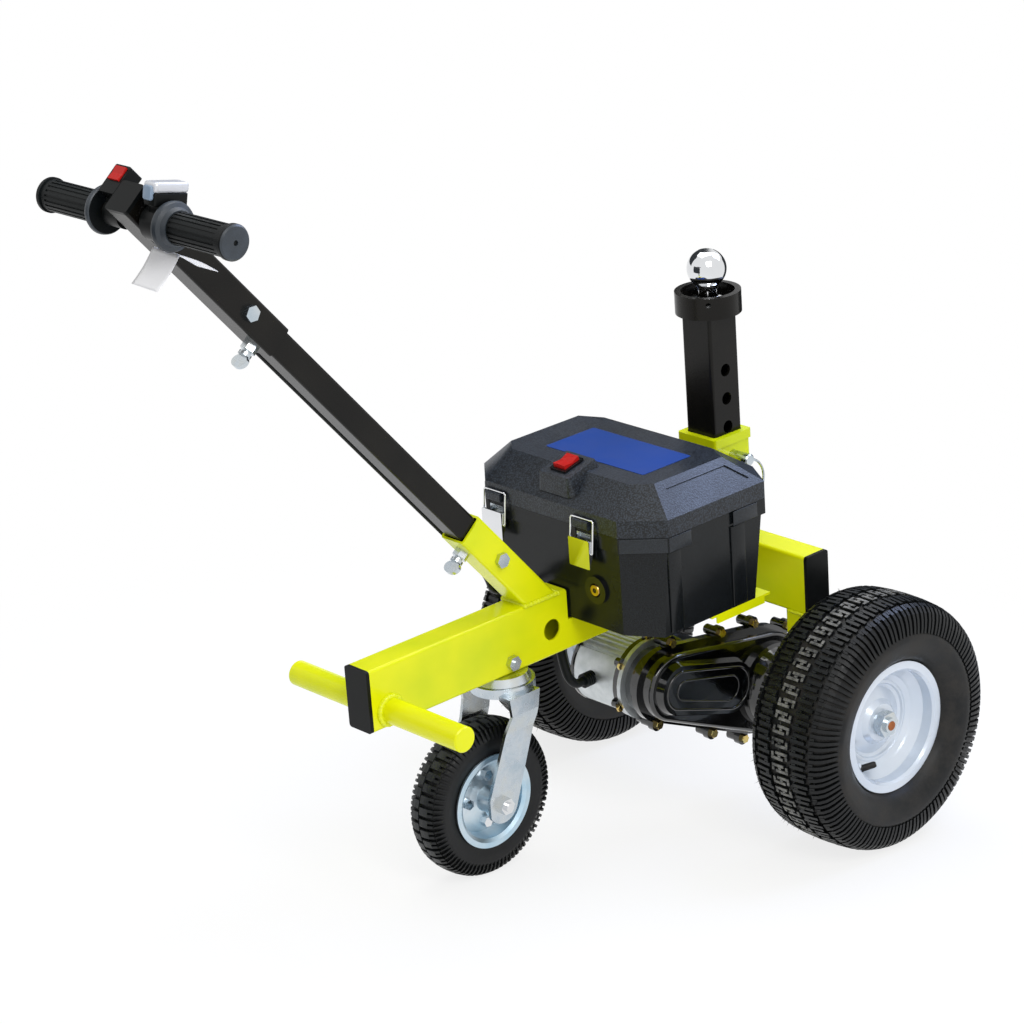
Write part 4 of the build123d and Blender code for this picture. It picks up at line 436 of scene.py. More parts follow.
@cache
def ring_tree():
    """Geometry Nodes: repeats a part round the Y axis and sets the ring in place."""
    tree, given = new_tree("ring of parts", Part="Geometry", Count="Int", Centre="Vector", Finish="Material")
    line = add(tree, "GeometryNodeMeshLine", {"Count": given["Count"], "Offset": (0, 0, 0)})
    index = add(tree, "GeometryNodeInputIndex")
    share = add(tree, "ShaderNodeMath", {0: index, 1: given["Count"]}, operation="DIVIDE")
    turn = add(tree, "ShaderNodeMath", {0: share, 1: math.tau}, operation="MULTIPLY")
    angles = add(tree, "ShaderNodeCombineXYZ", {"Y": turn})
    spin = add(tree, "FunctionNodeEulerToRotation", {"Euler": angles})
    ring = add(tree, "GeometryNodeInstanceOnPoints", {
        "Points": line, "Instance": given["Part"], "Rotation": spin})
    placed = add(tree, "GeometryNodeTransform", {"Geometry": ring, "Translation": given["Centre"]})
    return close_tree(tree, placed, given["Finish"])


@cache
def hair_tree():
    """Geometry Nodes: the rubber hairs that mould vents leave on a new tread, worn off next to the floor."""
    tree, given = new_tree(
        "mould hairs", Surface="Geometry", Density="Float", Length="Float", Centre="Vector",
        Width="Float", Lowest="Float", Finish="Material")
    place = add(tree, "GeometryNodeInputPosition")
    away = add(tree, "ShaderNodeVectorMath", {0: place, 1: given["Centre"]}, operation="SUBTRACT")
    upper = add(tree, "ShaderNodeVectorMath", {0: away, 1: (-0.94, 0, 0.34)}, operation="DOT_PRODUCT")
    across = add(tree, "ShaderNodeSeparateXYZ", {"Vector": away}).outputs["Y"]
    side = add(tree, "ShaderNodeMath", {0: across}, operation="ABSOLUTE")
    clear = add(tree, "FunctionNodeCompare", {0: upper.outputs["Value"], 1: given["Lowest"]},
                operation="GREATER_THAN")
    crown = add(tree, "FunctionNodeCompare", {0: side, 1: given["Width"]}, operation="LESS_THAN")
    free = add(tree, "FunctionNodeBooleanMath", {0: clear, 1: crown}, operation="AND")
    roots = add(tree, "GeometryNodeDistributePointsOnFaces", {
        "Mesh": given["Surface"], "Density": given["Density"], "Selection": free, "Seed": 11})
    hair = add(tree, "GeometryNodeMeshCone", {
        "Vertices": 3, "Radius Top": 0.0, "Radius Bottom": 0.00045, "Depth": given["Length"]})
    size = add(tree, "FunctionNodeRandomValue", {2: 0.5, 3: 1.0, "Seed": 5}, data_type="FLOAT")
    grown = add(tree, "GeometryNodeInstanceOnPoints", {
        "Points": roots, "Instance": hair, "Rotation": roots.outputs["Rotation"],
        "Scale": size.outputs[1]})
    return close_tree(tree, grown, given["Finish"])


@cache
def weld_tree():
    """Geometry Nodes: lays weld ripples along the drawn lines, one over the other."""
    tree, given = new_tree(
        "weld ripples", Lines="Geometry", Radius="Float", Spacing="Float", Finish="Material")
    path = add(tree, "GeometryNodeMeshToCurve", {"Mesh": given["Lines"]})
    even = add(tree, "GeometryNodeResampleCurve", {"Curve": path, "Length": given["Spacing"]}, mode="LENGTH")
    ripple = add(tree, "GeometryNodeMeshIcoSphere", {"Radius": given["Radius"], "Subdivisions": 2})
    size = add(tree, "FunctionNodeRandomValue", {2: 0.82, 3: 1.1, "Seed": 7}, data_type="FLOAT")
    laid = add(tree, "GeometryNodeInstanceOnPoints", {
        "Points": even, "Instance": ripple, "Scale": size.outputs[1]})
    return close_tree(tree, laid, given["Finish"], smooth=True)


def grow(piece, tree, **values):
    """Runs a Geometry Nodes tree on a piece and keeps the result as its plain mesh."""
    modifier = piece.modifiers.new("grow", "NODES")
    modifier.node_group = tree
    for item in tree.interface.items_tree:
        if item.name in values:
            modifier[item.identifier] = values[item.name]
    keep_result(piece)


def ring_of(name, points, faces, count, centre, finish):
    """Ring of one part, which is given in millimetres about the ring's own middle."""
    mesh = bpy.data.meshes.new(name)
    mesh.from_pydata([Vector(point) * 0.001 for point in points], [], faces)
    ring = new_object(name, mesh)
    grow(ring, ring_tree(), Count=count, Centre=set_down(centre), Finish=finish_of(finish))
    return ring


def hexagon(radius, height, distance):
    """Points and faces of a hexagon head that points to -Y, a distance above the ring's middle."""
    points = [(radius * math.cos(math.tau * k / 6), -side * height,
               distance + radius * math.sin(math.tau * k / 6)) for side in (0, 1) for k in range(6)]
    faces = [(5, 4, 3, 2, 1, 0), (6, 7, 8, 9, 10, 11)]
    faces += [(k, (k + 1) % 6, (k + 1) % 6 + 6, k + 6) for k in range(6)]
    return points, faces


def walk(profile, distance):
    """Point and outward direction on a tyre's outside, a signed distance round it from the crown."""
    hand = -1 if distance < 0 else 1
    left = abs(distance)
    for (y0, r0), (y1, r1) in zip(profile, profile[1:]):
        step = math.hypot(y1 - y0, r1 - r0)
        if left <= step:
            break
        left -= step
    share = left / step
    away = ((r0 - r1) / step, (y1 - y0) / step)
    return hand * (y0 + (y1 - y0) * share), r0 + (r1 - r0) * share, hand * away[0], away[1]


class Tread:
    """Bars of tread that follow a tyre's outside, in millimetres about the wheel's own middle."""

    def __init__(self, profile):
        self.profile = profile
        self.points = []
        self.faces = []

    def bar(self, middle, u0, u1, s0, s1, depth, sunk=1.0):
        """Adds a bar: u along the tread from a middle, s across it, narrower at its top."""
        radius = self.profile[0][1]
        longest_step = 9.0
        draft = 0.35
        u0, u1 = u0 + middle, u1 + middle
        steps = max(1, math.ceil(abs(s1 - s0) / longest_step))
        start = len(self.points)
        for step in range(steps + 1):
            y, reach, out_y, out_r = walk(self.profile, s0 + (s1 - s0) * step / steps)
            for u, height in ((u0, -sunk), (u0, depth), (u1, depth), (u1, -sunk)):
                inset = draft if height > 0 else 0.0
                turn = (u - math.copysign(inset, u - (u0 + u1) / 2)) / radius
                rise = height - depth
                away = reach + out_r * rise
                self.points.append((away * math.sin(turn), y + out_y * rise, away * math.cos(turn)))
        for step in range(steps):
            for corner in range(4):
                near = start + 4 * step + corner
                far = start + 4 * step + (corner + 1) % 4
                side = (far, far + 4, near + 4, near)
                self.faces.append(side if s1 > s0 else side[::-1])
        last = start + 4 * steps
        for end in (range(start + 3, start - 1, -1), range(last, last + 4)):
            self.faces.append(tuple(end) if s1 > s0 else tuple(end)[::-1])


def turned_faces(steps, count):
    """Faces of a closed outline turned all the way round."""
    faces = []
    for step in range(steps):
        here, after = step * count, (step + 1) % steps * count
        faces.extend((here + k, here + (k + 1) % count, after + (k + 1) % count, after + k)
                     for k in range(count))
    return faces


def lathe(name, profile, centre, slot, steps):
    """Closed ring turned about the wheel's axis from a closed outline of (width, radius)."""
    points = []
    for step in range(steps):
        turn = math.tau * step / steps
        points.extend((centre[0] + r * math.sin(turn), centre[1] + y, centre[2] + r * math.cos(turn))
                      for y, r in profile)
    outward = [face[:1] + face[:0:-1] for face in turned_faces(steps, len(profile))]
    return new_piece(name, points, outward, slot)


def tyre_outline(profile, depth, tread_end, wall):
    """Carcass under the tread: sunk by the tread's depth, out to the bare side wall, with a hollow."""
    total = sum(math.hypot(y1 - y0, r1 - r0) for (y0, r0), (y1, r1) in zip(profile, profile[1:]))
    outside = []
    steps = 30
    for step in range(-steps, steps + 1):
        distance = total * step / steps
        y, radius, out_y, out_r = walk(profile, distance)
        sunk = depth * min(1.0, max(0.0, (tread_end + 8.0 - abs(distance)) / 10.0))
        outside.append((y - out_y * sunk, radius - out_r * sunk))
    bead_y, bead_r = profile[-1]
    crown = (0, profile[0][1] - wall)
    lip = (bead_y - wall, bead_r)
    flank = (bead_y - wall * 0.2, bead_r + 26.0 * wall / 12)
    return outside + [lip, flank, crown, (-flank[0], flank[1]), (-lip[0], lip[1])]


def soften(piece, width):
    """Rounds a piece's edges by a width in millimetres, as a moulding or casting has them."""
    bevel = piece.modifiers.new("soft edges", "BEVEL")
    bevel.width = width / 1000
    bevel.segments = 3
    bevel.limit_method = "ANGLE"
    keep_result(piece)
    smooth_under(piece.data, 40)


def slab(name, outline, corner, across, along, thickness, finish, edge=0.0):
    """Closed plate: an outline on two directions from a corner, given thickness and soft edges."""
    across = Vector(across).normalized()
    along = Vector(along).normalized()
    out = across.cross(along) * thickness
    floor = [Vector(corner) + across * a + along * b for a, b in outline]
    count = len(floor)
    faces = [tuple(reversed(range(count))), tuple(range(count, 2 * count))]
    faces += [(k, (k + 1) % count, count + (k + 1) % count, count + k) for k in range(count)]
    piece = new_piece(name, floor + [point + out for point in floor], faces, finish, smooth=False)
    if edge:
        soften(piece, edge)
    return piece


def rectangle(u0, u1, v0, v1):
    """Corners of a rectangle, anticlockwise."""
    return [(u0, v0), (u1, v0), (u1, v1), (u0, v1)]


def round_corners(width, height, radius):
    """Outline of a rectangle about its middle with rounded corners."""
    outline = []
    for x, y, start in ((1, -1, -90), (1, 1, 0), (-1, 1, 90), (-1, -1, 180)):
        middle = (x * (width / 2 - radius), y * (height / 2 - radius))
        for step in range(5):
            turn = math.radians(start + 22.5 * step)
            outline.append((middle[0] + radius * math.cos(turn), middle[1] + radius * math.sin(turn)))
    return outline


def circle(x, y, z, radius):
    """Loop round a bar that runs along Y."""
    steps = 24
    return [(x + radius * math.cos(math.tau * k / steps), y, z + radius * math.sin(math.tau * k / steps))
            for k in range(steps)]


def hull_of_two(first, first_radius, second, second_radius):
    """Outline round two circles of different size."""
    steps = 14
    run = Vector(second) - Vector(first)
    lean = math.atan2(run.y, run.x)
    part = math.acos((first_radius - second_radius) / run.length)
    outline = []
    for middle, radius, start, sweep in ((first, first_radius, lean + part, math.tau - 2 * part),
                                         (second, second_radius, lean - part, 2 * part)):
        for step in range(steps + 1):
            turn = start + sweep * step / steps
            outline.append((middle[0] + radius * math.cos(turn), middle[1] + radius * math.sin(turn)))
    return outline


def turned(name, profile, centre, axis, finish, steps=48):
    """Piece turned about an axis from a closed outline of (distance along, radius)."""
    axis = Vector(axis).normalized()
    first = axis.orthogonal().normalized()
    second = axis.cross(first)
    points = []
    for step in range(steps):
        turn = math.tau * step / steps
        ray = first * math.cos(turn) + second * math.sin(turn)
        points.extend(Vector(centre) + axis * along + ray * radius for along, radius in profile)
    piece = new_piece(name, points, turned_faces(steps, len(profile)), finish)
    shape = bmesh.new()
    shape.from_mesh(piece.data)
    bmesh.ops.remove_doubles(shape, verts=shape.verts, dist=SAME_PLACE)
    loose = [edge for edge in shape.edges if not edge.link_faces]
    bmesh.ops.delete(shape, geom=loose, context="EDGES")
    bmesh.ops.recalc_face_normals(shape, faces=shape.faces)
    shape.to_mesh(piece.data)
    shape.free()
    piece.data.set_sharp_from_angle(angle=math.radians(35))
    return piece


def wire(name, route, radius, finish, closed=False):
    """Round wire or bead that follows a route of points."""
    curve = bpy.data.curves.new(name, "CURVE")
    curve.dimensions = "3D"
    curve.bevel_depth = radius / 1000
    curve.bevel_resolution = 3
    curve.use_fill_caps = True
    spline = curve.splines.new("NURBS")
    spline.points.add(len(route) - 1)
    for point, place in zip(spline.points, route):
        point.co = (*set_down(place), 1.0)
    spline.use_cyclic_u = closed
    spline.order_u = 3
    spline.use_endpoint_u = not closed
    drawn = new_object(name, curve)
    mesh = result_of(drawn)
    bpy.data.objects.remove(drawn)
    dress(mesh, finish)
    return new_object(name, mesh)


def eased(node, name, width, finish):
    """Copy of a CAD solid with its sharp edges eased, so that they catch the light as moulded ones do."""
    flat, edge_angle = math.radians(0.5), math.radians(28)
    mesh = frame["nodes"][node].data.copy()
    mesh.name = name
    shape = bmesh.new()
    shape.from_mesh(mesh)
    bmesh.ops.remove_doubles(shape, verts=shape.verts, dist=2 * SAME_PLACE)
    bmesh.ops.dissolve_limit(shape, angle_limit=flat, verts=shape.verts, edges=shape.edges)
    sharp = [edge for edge in shape.edges
             if len(edge.link_faces) == 2 and edge.calc_face_angle() > edge_angle]
    bmesh.ops.bevel(shape, geom=sharp, offset=width / 1000, segments=2, profile=0.5, affect="EDGES",
                    clamp_overlap=True)
    shape.to_mesh(mesh)
    shape.free()
    dress(mesh, finish)
    smooth_under(mesh, 42)
    piece = new_object(name, mesh)
    even = piece.modifiers.new("flat faces stay flat", "WEIGHTED_NORMAL")
    even.keep_sharp = True
    keep_result(piece)
    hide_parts(node)
    return piece


def sheet_of(name, corners, thickness, finish, bow):
    """Thin card between four corners, bowed a little across its middle."""
    a, b, c, d = (Vector(corner) for corner in corners)
    out = (b - a).cross(d - a).normalized()
    steps = 10
    points = []
    for side in (0.0, thickness):
        for row in range(steps + 1):
            for column in range(steps + 1):
                u, v = column / steps, row / steps
                flat = (a * (1 - u) + b * u) * (1 - v) + (d * (1 - u) + c * u) * v
                points.append(flat + out * (side + bow * math.sin(math.pi * v)))
    width = steps + 1
    layer = width * width
    faces = []
    for row in range(steps):
        for column in range(steps):
            k = row * width + column
            faces.append((k, k + width, k + width + 1, k + 1))
            faces.append((layer + k, layer + k + 1, layer + k + width + 1, layer + k + width))
    rim = ([k for k in range(steps)] + [steps + width * row for row in range(steps)]
           + [layer - 1 - k for k in range(steps)] + [width * (steps - row) for row in range(steps)])
    faces += [(here, after, layer + after, layer + here) for here, after in zip(rim, rim[1:] + rim[:1])]
    return new_piece(name, points, faces, finish)


def weld(name, loops, radius):
    """Weld beads along closed loops of points in the dolly's own millimetres."""
    points = []
    edges = []
    for loop in loops:
        first = len(points)
        points.extend(set_down(point) for point in loop)
        edges.extend((first + k, first + (k + 1) % len(loop)) for k in range(len(loop)))
    mesh = bpy.data.meshes.new(name)
    mesh.from_pydata(points, edges, [])
    piece = new_object(name, mesh)
    grow(piece, weld_tree(), Radius=radius / 1000, Spacing=radius * 0.8 / 1000, Finish=finish_of("weld"))
    settle("chassis", "frame_paint", piece)


def staged(name, corners, finish):
    """Flat piece of the studio between four corners in metres."""
    mesh = bpy.data.meshes.new(name)
    mesh.from_pydata(corners, [], [(0, 1, 2, 3)])
    mesh.materials.append(finish)
    made = new_object(name, mesh)
    return made


def rays(tree, *kinds):
    """1 for the kinds of ray named here, 0 for the rest."""
    path = add(tree, "ShaderNodeLightPath").outputs
    seen = path[kinds[0]]
    for kind in kinds[1:]:
        seen = add(tree, "ShaderNodeMath", {0: seen, 1: path[kind]}, operation="MAXIMUM").outputs[0]
    return seen


class DollySizes(bpy.types.PropertyGroup):
    """Sizes of the dressing that a user may change."""

    drive_blocks: IntProperty(
        name="Drive tread pitches", description="Tread blocks round each drive tyre",
        default=60, min=40, max=80)
    drive_depth: FloatProperty(
        name="Drive tread depth", description="Depth of the drive tyres' tread in millimetres",
        default=4.5, min=1.0, max=6.0)
    caster_blocks: IntProperty(
        name="Caster tread pitches", description="Tread blocks round the caster tyre",
        default=42, min=20, max=60)
    caster_depth: FloatProperty(
        name="Caster tread depth", description="Depth of the caster's tread in millimetres",
        default=4.5, min=1.0, max=5.0)


class DollyColours(bpy.types.PropertyGroup):
    """Colours of the dressing that a user may change."""

    label: FloatVectorProperty(
        name="Label", description="Film on the lid", subtype="COLOR", size=4,
        default=linear("#083A88"), min=0.0, max=1.0)


class DOLLY_OT_frame(bpy.types.Operator):
    """Paint the welded frame and its plugs"""

    bl_idname = "dolly.frame"
    bl_label = "Welded frame"

    def execute(self, context):
        carry_over("main_beam", "front_bar", "handle_socket", "battery_tray", "rear_cross_beams",
                   "receiver_tube", "tube_end_plugs", "axle_clamps")
        # Fillet welds where the tubes meet, each bead a little proud of the face it runs on
        proud = 0.6
        beam_top = 209.5
        leg_foot = 121.5
        hands = (-1, 1)
        weld("front_bar_welds", [circle(-581.0, hand * (21.0 + proud), 151.0, 17.0) for hand in hands], 4.0)
        socket = rectangle(-356.5, -301.5, -20.8, 20.8)
        weld("socket_weld", [[(x, y, beam_top + proud) for x, y in socket]], 3.0)
        post = [(-26.05 - proud, y, z) for y, z in rectangle(-20, 20, 129.5, beam_top)]
        sides = [[(x, hand * (31.75 + proud), z) for x, z in rectangle(-14.3, 25.7, leg_foot, 201.5)]
                 for hand in hands]
        weld("receiver_welds", [post, *sides], 3.0)
        legs = [[(x, hand * 152.0 + y, leg_foot - proud) for x, y in rectangle(-13.3, 24.7, -15.0, 15.0)]
                for hand in hands]
        weld("leg_welds", legs, 2.6)
        return {"FINISHED"}


class DOLLY_OT_handle(bpy.types.Operator):
    """Finish the handle, its grips and its controls"""

    bl_idname = "dolly.handle"
    bl_label = "Handle and controls"

    def execute(self, context):
        carry_over("handle_lower_tube", "handle_upper_tube", "handle_fasteners", "handlebar",
                   "upper_thumbscrew", "lower_thumbscrew", "far_grip", "throttle_grip", "direction_pod",
                   "mode_button", "direction_rocker", "control_lead")
        # Gauge: a black base and a silver cover on a clamp round the bar, tipped towards the axle
        clamp = turned("throttle_clamp", THROTTLE_CLAMP, BAR, (0, 1, 0), "plug_plastic")
        settle("chassis", "plug_plastic", clamp)
        tip = math.radians(-12.0)
        along = Vector((math.cos(tip), 0, math.sin(tip)))
        up = Vector((-math.sin(tip), 0, math.cos(tip)))
        middle = Vector(BAR) + Vector((5.5, -42.0, 18.5))
        side = (0, 1, 0)
        window = middle + up * 15.0 - along * 26.0
        gauge = {}
        for name, size, corner, across, over, thickness, finish, edge in (
                ("neck", (34.0, 17.0, 3.0), middle - up * 8.0, along, side, 10.0, "plug_plastic", 1.0),
                ("base", (45.0, 21.0, 3.5), middle + up * 1.0, along, side, 14.0, "plug_plastic", 1.2),
                ("silver_cover", (46.0, 22.0, 4.0), middle + up * 15.2, along, side, 11.5,
                 "grey_plastic", 3.2),
                ("window", (15.0, 16.0, 3.0), window, side, up, 6.0, "blue_grey_plastic", 2.0)):
            gauge[name] = slab("gauge_" + name, round_corners(*size), corner, across, over, thickness,
                               finish, edge)
            settle("chassis", finish, gauge[name])
        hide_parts("throttle_housing")
        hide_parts("gauge_cover")
        # Grips: rounded inner flanges of paler rubber, and an end face with a small moulded hole
        for name, hand, body in (("near_grip", -1, "throttle"), ("far_grip", 1, "chassis")):
            for part, outline in (("_flange", GRIP_FLANGE), ("_end", GRIP_END)):
                settle(body, "rubber", turned(name + part, outline, BAR, (0, hand, 0), "grip_flange"))
        card = 0.5
        front = sheet_of("tag_front_leaf", TAG_FRONT, card, "card", bow=2.0)
        back = sheet_of("tag_back_leaf", TAG_BACK, card, "card", bow=-2.0)
        settle("chassis", "card", front, back, wire("tag_string", TAG_LOOP, 0.6, "card"))
        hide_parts("hang_tag")
        return {"FINISHED"}


class DOLLY_OT_battery_box(bpy.types.Operator):
    """Finish the battery box, its latches and what is in it"""

    bl_idname = "dolly.battery_box"
    bl_label = "Battery box"

    def execute(self, context):
        edge = 1.4
        settle("lid", "box_plastic", eased("box_lid", "lid_moulding", edge, "lid_plastic"))
        settle("chassis", "box_plastic", eased("box_tub", "tub_moulding", edge, "box_plastic"))
        carry_over("charge_port", "switch_body", "power_rocker", "box_fittings", "latch_lever_near",
                   "latch_lever_far", "latch_bail_near", "latch_bail_far", "batteries", "controller")
        column_y, column_foot, column_height, column_proud = 161.5, 175.0, 105.3, 3.0
        pad_foot, pad_height, pad_proud = 281.2, 18.4, 1.0
        up = (0, 0, 1)
        for side, hand in (("near", -1), ("far", 1)):
            # Corner columns stand proud of the tub's long sides, under the lip
            for place, x0, x1 in (("front", -247.0, -226.0), ("rear", -138.0, -114.0)):
                start = (x0 if hand < 0 else x1, hand * column_y, column_foot)
                column = slab("tub_column_%s_%s" % (side, place), rectangle(0, x1 - x0, 0, column_height),
                              start, (-hand, 0, 0), up, column_proud, "box_plastic", edge=1.2)
                settle("chassis", "box_plastic", column)
            # The lip's corner pads: one down each long side, one across the corner
            for place, (x0, y0), (x1, y1) in (("front", (-246.0, 165.0), (-208.0, 165.0)),
                                              ("corner", (-286.0, 119.2), (-247.0, 163.9)),
                                              ("rear", (-134.5, 165.0), (-92.0, 165.0))):
                start, end = Vector((x0, hand * y0, pad_foot)), Vector((x1, hand * y1, pad_foot))
                if hand > 0:
                    start, end = end, start
                run = end - start
                pad = slab("tub_pad_%s_%s" % (side, place), rectangle(0, run.length, 0, pad_height),
                           start, run, up, pad_proud, "tub_pad", edge=0.5)
                settle("chassis", "box_plastic", pad)
        label_middle, film = (-175.0, -9.0, 357.0), 0.4
        label = slab("lid_label", round_corners(84.0, 174.0, 3.0), label_middle, (1, 0, 0), (0, 1, 0),
                     film, "label")
        settle("lid", "box_plastic", label)
        socket_middle = (-286.5, -74.0, 222.3)
        socket = turned("charge_socket_ring", SOCKET_RING, socket_middle, (-1, 0, 0), "brass", steps=32)
        settle("chassis", "switch_plastic", socket)
        return {"FINISHED"}


class DOLLY_OT_hitch(bpy.types.Operator):
    """Finish the hitch post, ball and pin"""

    bl_idname = "dolly.hitch"
    bl_label = "Hitch post and ball"

    def execute(self, context):
        carry_over("hitch_post", "hitch_ball", "hitch_pin")
        return {"FINISHED"}


class DOLLY_OT_drive_unit(bpy.types.Operator):
    """Finish the motor, the gear case and the axle"""

    bl_idname = "dolly.drive_unit"
    bl_label = "Motor and gear case"

    def execute(self, context):
        carry_over("motor_flange", "adapter_ring", "gear_case", "gear_cover", "transaxle_bolts",
                   "motor_gland", "motor_conduit")
        carry_over("axle_housings", finish="case_paint")
        motor_x, motor_z = MOTOR
        # Motor barrel: plain extruded aluminium with fins above and below only
        radius, fin, steps = 49.8, 2.6, 240
        front, length = -24.0, 74.0
        outline = []
        for step in reversed(range(steps)):
            turn = math.tau * step / steps
            finned = abs(math.sin(turn)) > 0.72
            reach = radius - (fin if finned and step % 6 > 2 else 0.0)
            outline.append((motor_x + reach * math.cos(turn), motor_z + reach * math.sin(turn)))
        barrel = slab("motor_barrel", outline, (0, front, 0), (1, 0, 0), (0, 0, 1), -length, "aluminium")
        cap = turned("motor_rear_cap", MOTOR_CAP, (motor_x, 0, motor_z), (0, 1, 0), "case_paint")
        settle("chassis", "aluminium", barrel)
        settle("chassis", "case_paint", cap)
        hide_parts("motor_body")
        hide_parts("motor_end_cap")
        # Gear case: raised lines on the cover, bolt sleeves behind the lugs
        cover_y = -95.2
        for name, first, first_radius, second, second_radius, radius in (
                ("gear_cover_line", MOTOR, 25.0, (-76.5, 23.4), 28.0, 1.7),
                ("gear_cover_panel_line", (motor_x + 6, motor_z - 2), 13.0, (-84.0, 25.5), 17.0, 1.2)):
            hull = hull_of_two(first, first_radius, second, second_radius)
            line = wire(name, [(x, cover_y, z) for x, z in hull], radius, "case_paint", closed=True)
            settle("chassis", "case_paint", line)
        for number, (x, z) in enumerate(CASE_BOLTS):
            sleeve = turned("bolt_sleeve_%d" % number, BOLT_SLEEVE, (x, 0, z), (0, 1, 0), "case_paint",
                            steps=24)
            settle("chassis", "case_paint", sleeve)
        # Gold bolts round the motor's flange
        head = hexagon(radius=4.6, height=4.0, distance=56.5)
        flange = (motor_x, -32.0, motor_z)
        bolts = ring_of("motor_flange_bolts", *head, 6, flange, "gold_zinc")
        settle("chassis", "gold_zinc", bolts)
        return {"FINISHED"}


class DOLLY_OT_drive_wheels(bpy.types.Operator):
    """Turn the drive tyres and cut their tread"""

    bl_idname = "dolly.drive_wheels"
    bl_label = "Drive wheels"

    def execute(self, context):
        sizes = context.scene.dolly_sizes
        carry_over("near_tyre", "far_tyre", "near_rim", "far_rim", "near_stub_axle", "far_stub_axle")
        pitch = math.tau * DRIVE_PROFILE[0][1] / sizes.drive_blocks
        depth = sizes.drive_depth
        hook_depth = depth - 0.4
        rib_depth, rib_sunk = 3.2, 1.6
        rib_inner, rib_outer, rib_half = 45.0, 88.0, 2.7
        for name, hand in (("near", -1), ("far", 1)):
            centre = (0.0, hand * HALF_TRACK, 0.0)
            outline = tyre_outline(DRIVE_PROFILE, depth, tread_end=84.0, wall=12.0)
            carcass = lathe(name + "_tyre_carcass", outline, centre, "tyre", steps=180)
            cut = Tread(DRIVE_PROFILE)
            # The ring repeats two pitches, because the S blocks of the crown face left and right in turn
            for base, flip in ((-0.5 * pitch, 1), (0.5 * pitch, -1)):
                for u0, u1, s0, s1 in CROWN_BARS:
                    cut.bar(base, u0, u1, flip * s0, flip * s1, depth)
                for side in (-1, 1):
                    # Beside the crown: hooks a quarter pitch off, open towards the shoulder
                    for u0, u1, s0, s1 in HOOK_BARS:
                        cut.bar(base + side * 0.25 * pitch, u0, u1, side * s0, side * s1, hook_depth)
                    # Shoulder: pairs of ribs joined at their inner ends, running down the side wall
                    for rib in (-0.27, 0.27):
                        cut.bar(base + rib * pitch, -rib_half, rib_half, side * rib_inner,
                                side * rib_outer, rib_depth, rib_sunk)
                    cut.bar(base, -2.0, 2.0, side * rib_inner, side * 51.0, rib_depth, rib_sunk)
            finish = "drive_tread_" + name
            tread = ring_of(name + "_tyre_tread", cut.points, cut.faces, sizes.drive_blocks // 2, centre,
                            finish)
            hairs = new_object(name + "_tyre_hairs", tread.data.copy())
            grow(hairs, hair_tree(), Density=9000.0, Length=0.007, Centre=set_down(centre), Width=0.046,
                 Lowest=0.05, Finish=finish_of(finish))
            wheel = name + "_wheel"
            settle(wheel, "tyre", carcass, tread, hairs)
            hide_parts(name + "_tyre")
            # Rim: a pressed ridge on the dish, a rubber valve stem, and the copper-greased axle end
            axle, out = (0, 0, 0), (0, hand, 0)
            stem_foot, stem_lean = (-47.4, hand * 278.0, -48.3), (15.8, hand * 17.0, 7.4)
            ridge = turned(name + "_rim_ridge", RIM_RIDGE, axle, out, "rim_paint", steps=96)
            stem = turned(name + "_valve_stem", VALVE_STEM, stem_foot, stem_lean, "tyre", steps=24)
            end = turned(name + "_axle_end", AXLE_END, axle, out, "copper", steps=24)
            settle(wheel, "rim_paint", ridge)
            settle(wheel, "tyre", stem)
            settle(wheel, "zinc", end)
        return {"FINISHED"}


class DOLLY_OT_caster(bpy.types.Operator):
    """Finish the caster and cut its tyre's tread"""

    bl_idname = "dolly.caster"
    bl_label = "Caster"

    def execute(self, context):
        sizes = context.scene.dolly_sizes
        carry_over("caster_stem", "caster_fork", "caster_tyre")
        carry_over("caster_axle", finish="chrome")
        carry_over("caster_rim", finish="blue_zinc")
        pitch = math.tau * CASTER_PROFILE[0][1] / sizes.caster_blocks
        depth = sizes.caster_depth
        outline = tyre_outline(CASTER_PROFILE, depth, tread_end=30.0, wall=7.0)
        carcass = lathe("caster_tyre_carcass", outline, CASTER_AXLE, "caster_rubber", steps=120)
        cut = Tread(CASTER_PROFILE)
        # Bars as (places along a pitch, half their length in pitches, start and end across, depth, sunk):
        # crown lugs with a notch in their outer edge, then fine ribs down the side wall, two to a lug
        bars = (((0.0,), 0.36, 0.9, 14.0, depth, 1.0), ((-0.22, 0.22), 0.14, 14.0, 21.5, depth - 0.4, 1.0),
                ((-0.25, 0.25), 0.1, 22.5, 42.0, 1.6, 1.2))
        for side, phase in ((-1, 0.0), (1, 0.5)):
            for places, half, s0, s1, height, sunk in bars:
                for place in places:
                    cut.bar((place + phase) * pitch, -half * pitch, half * pitch, side * s0, side * s1,
                            height, sunk)
        tread = ring_of("caster_tyre_tread", cut.points, cut.faces, sizes.caster_blocks, CASTER_AXLE,
                        "caster_tread")
        # Rim nuts, four round the near side, that clamp the halves of the rim together
        nut = hexagon(radius=7.0, height=9.0, distance=31.0)
        rim_face = (CASTER_AXLE[0], -7.0, CASTER_AXLE[2])
        nuts = ring_of("caster_rim_nuts", *nut, 4, rim_face, "chrome")
        settle("caster_wheel", "zinc", nuts)
        settle("caster_wheel", "tyre", carcass, tread)
        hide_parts("caster_tyre")
        return {"FINISHED"}


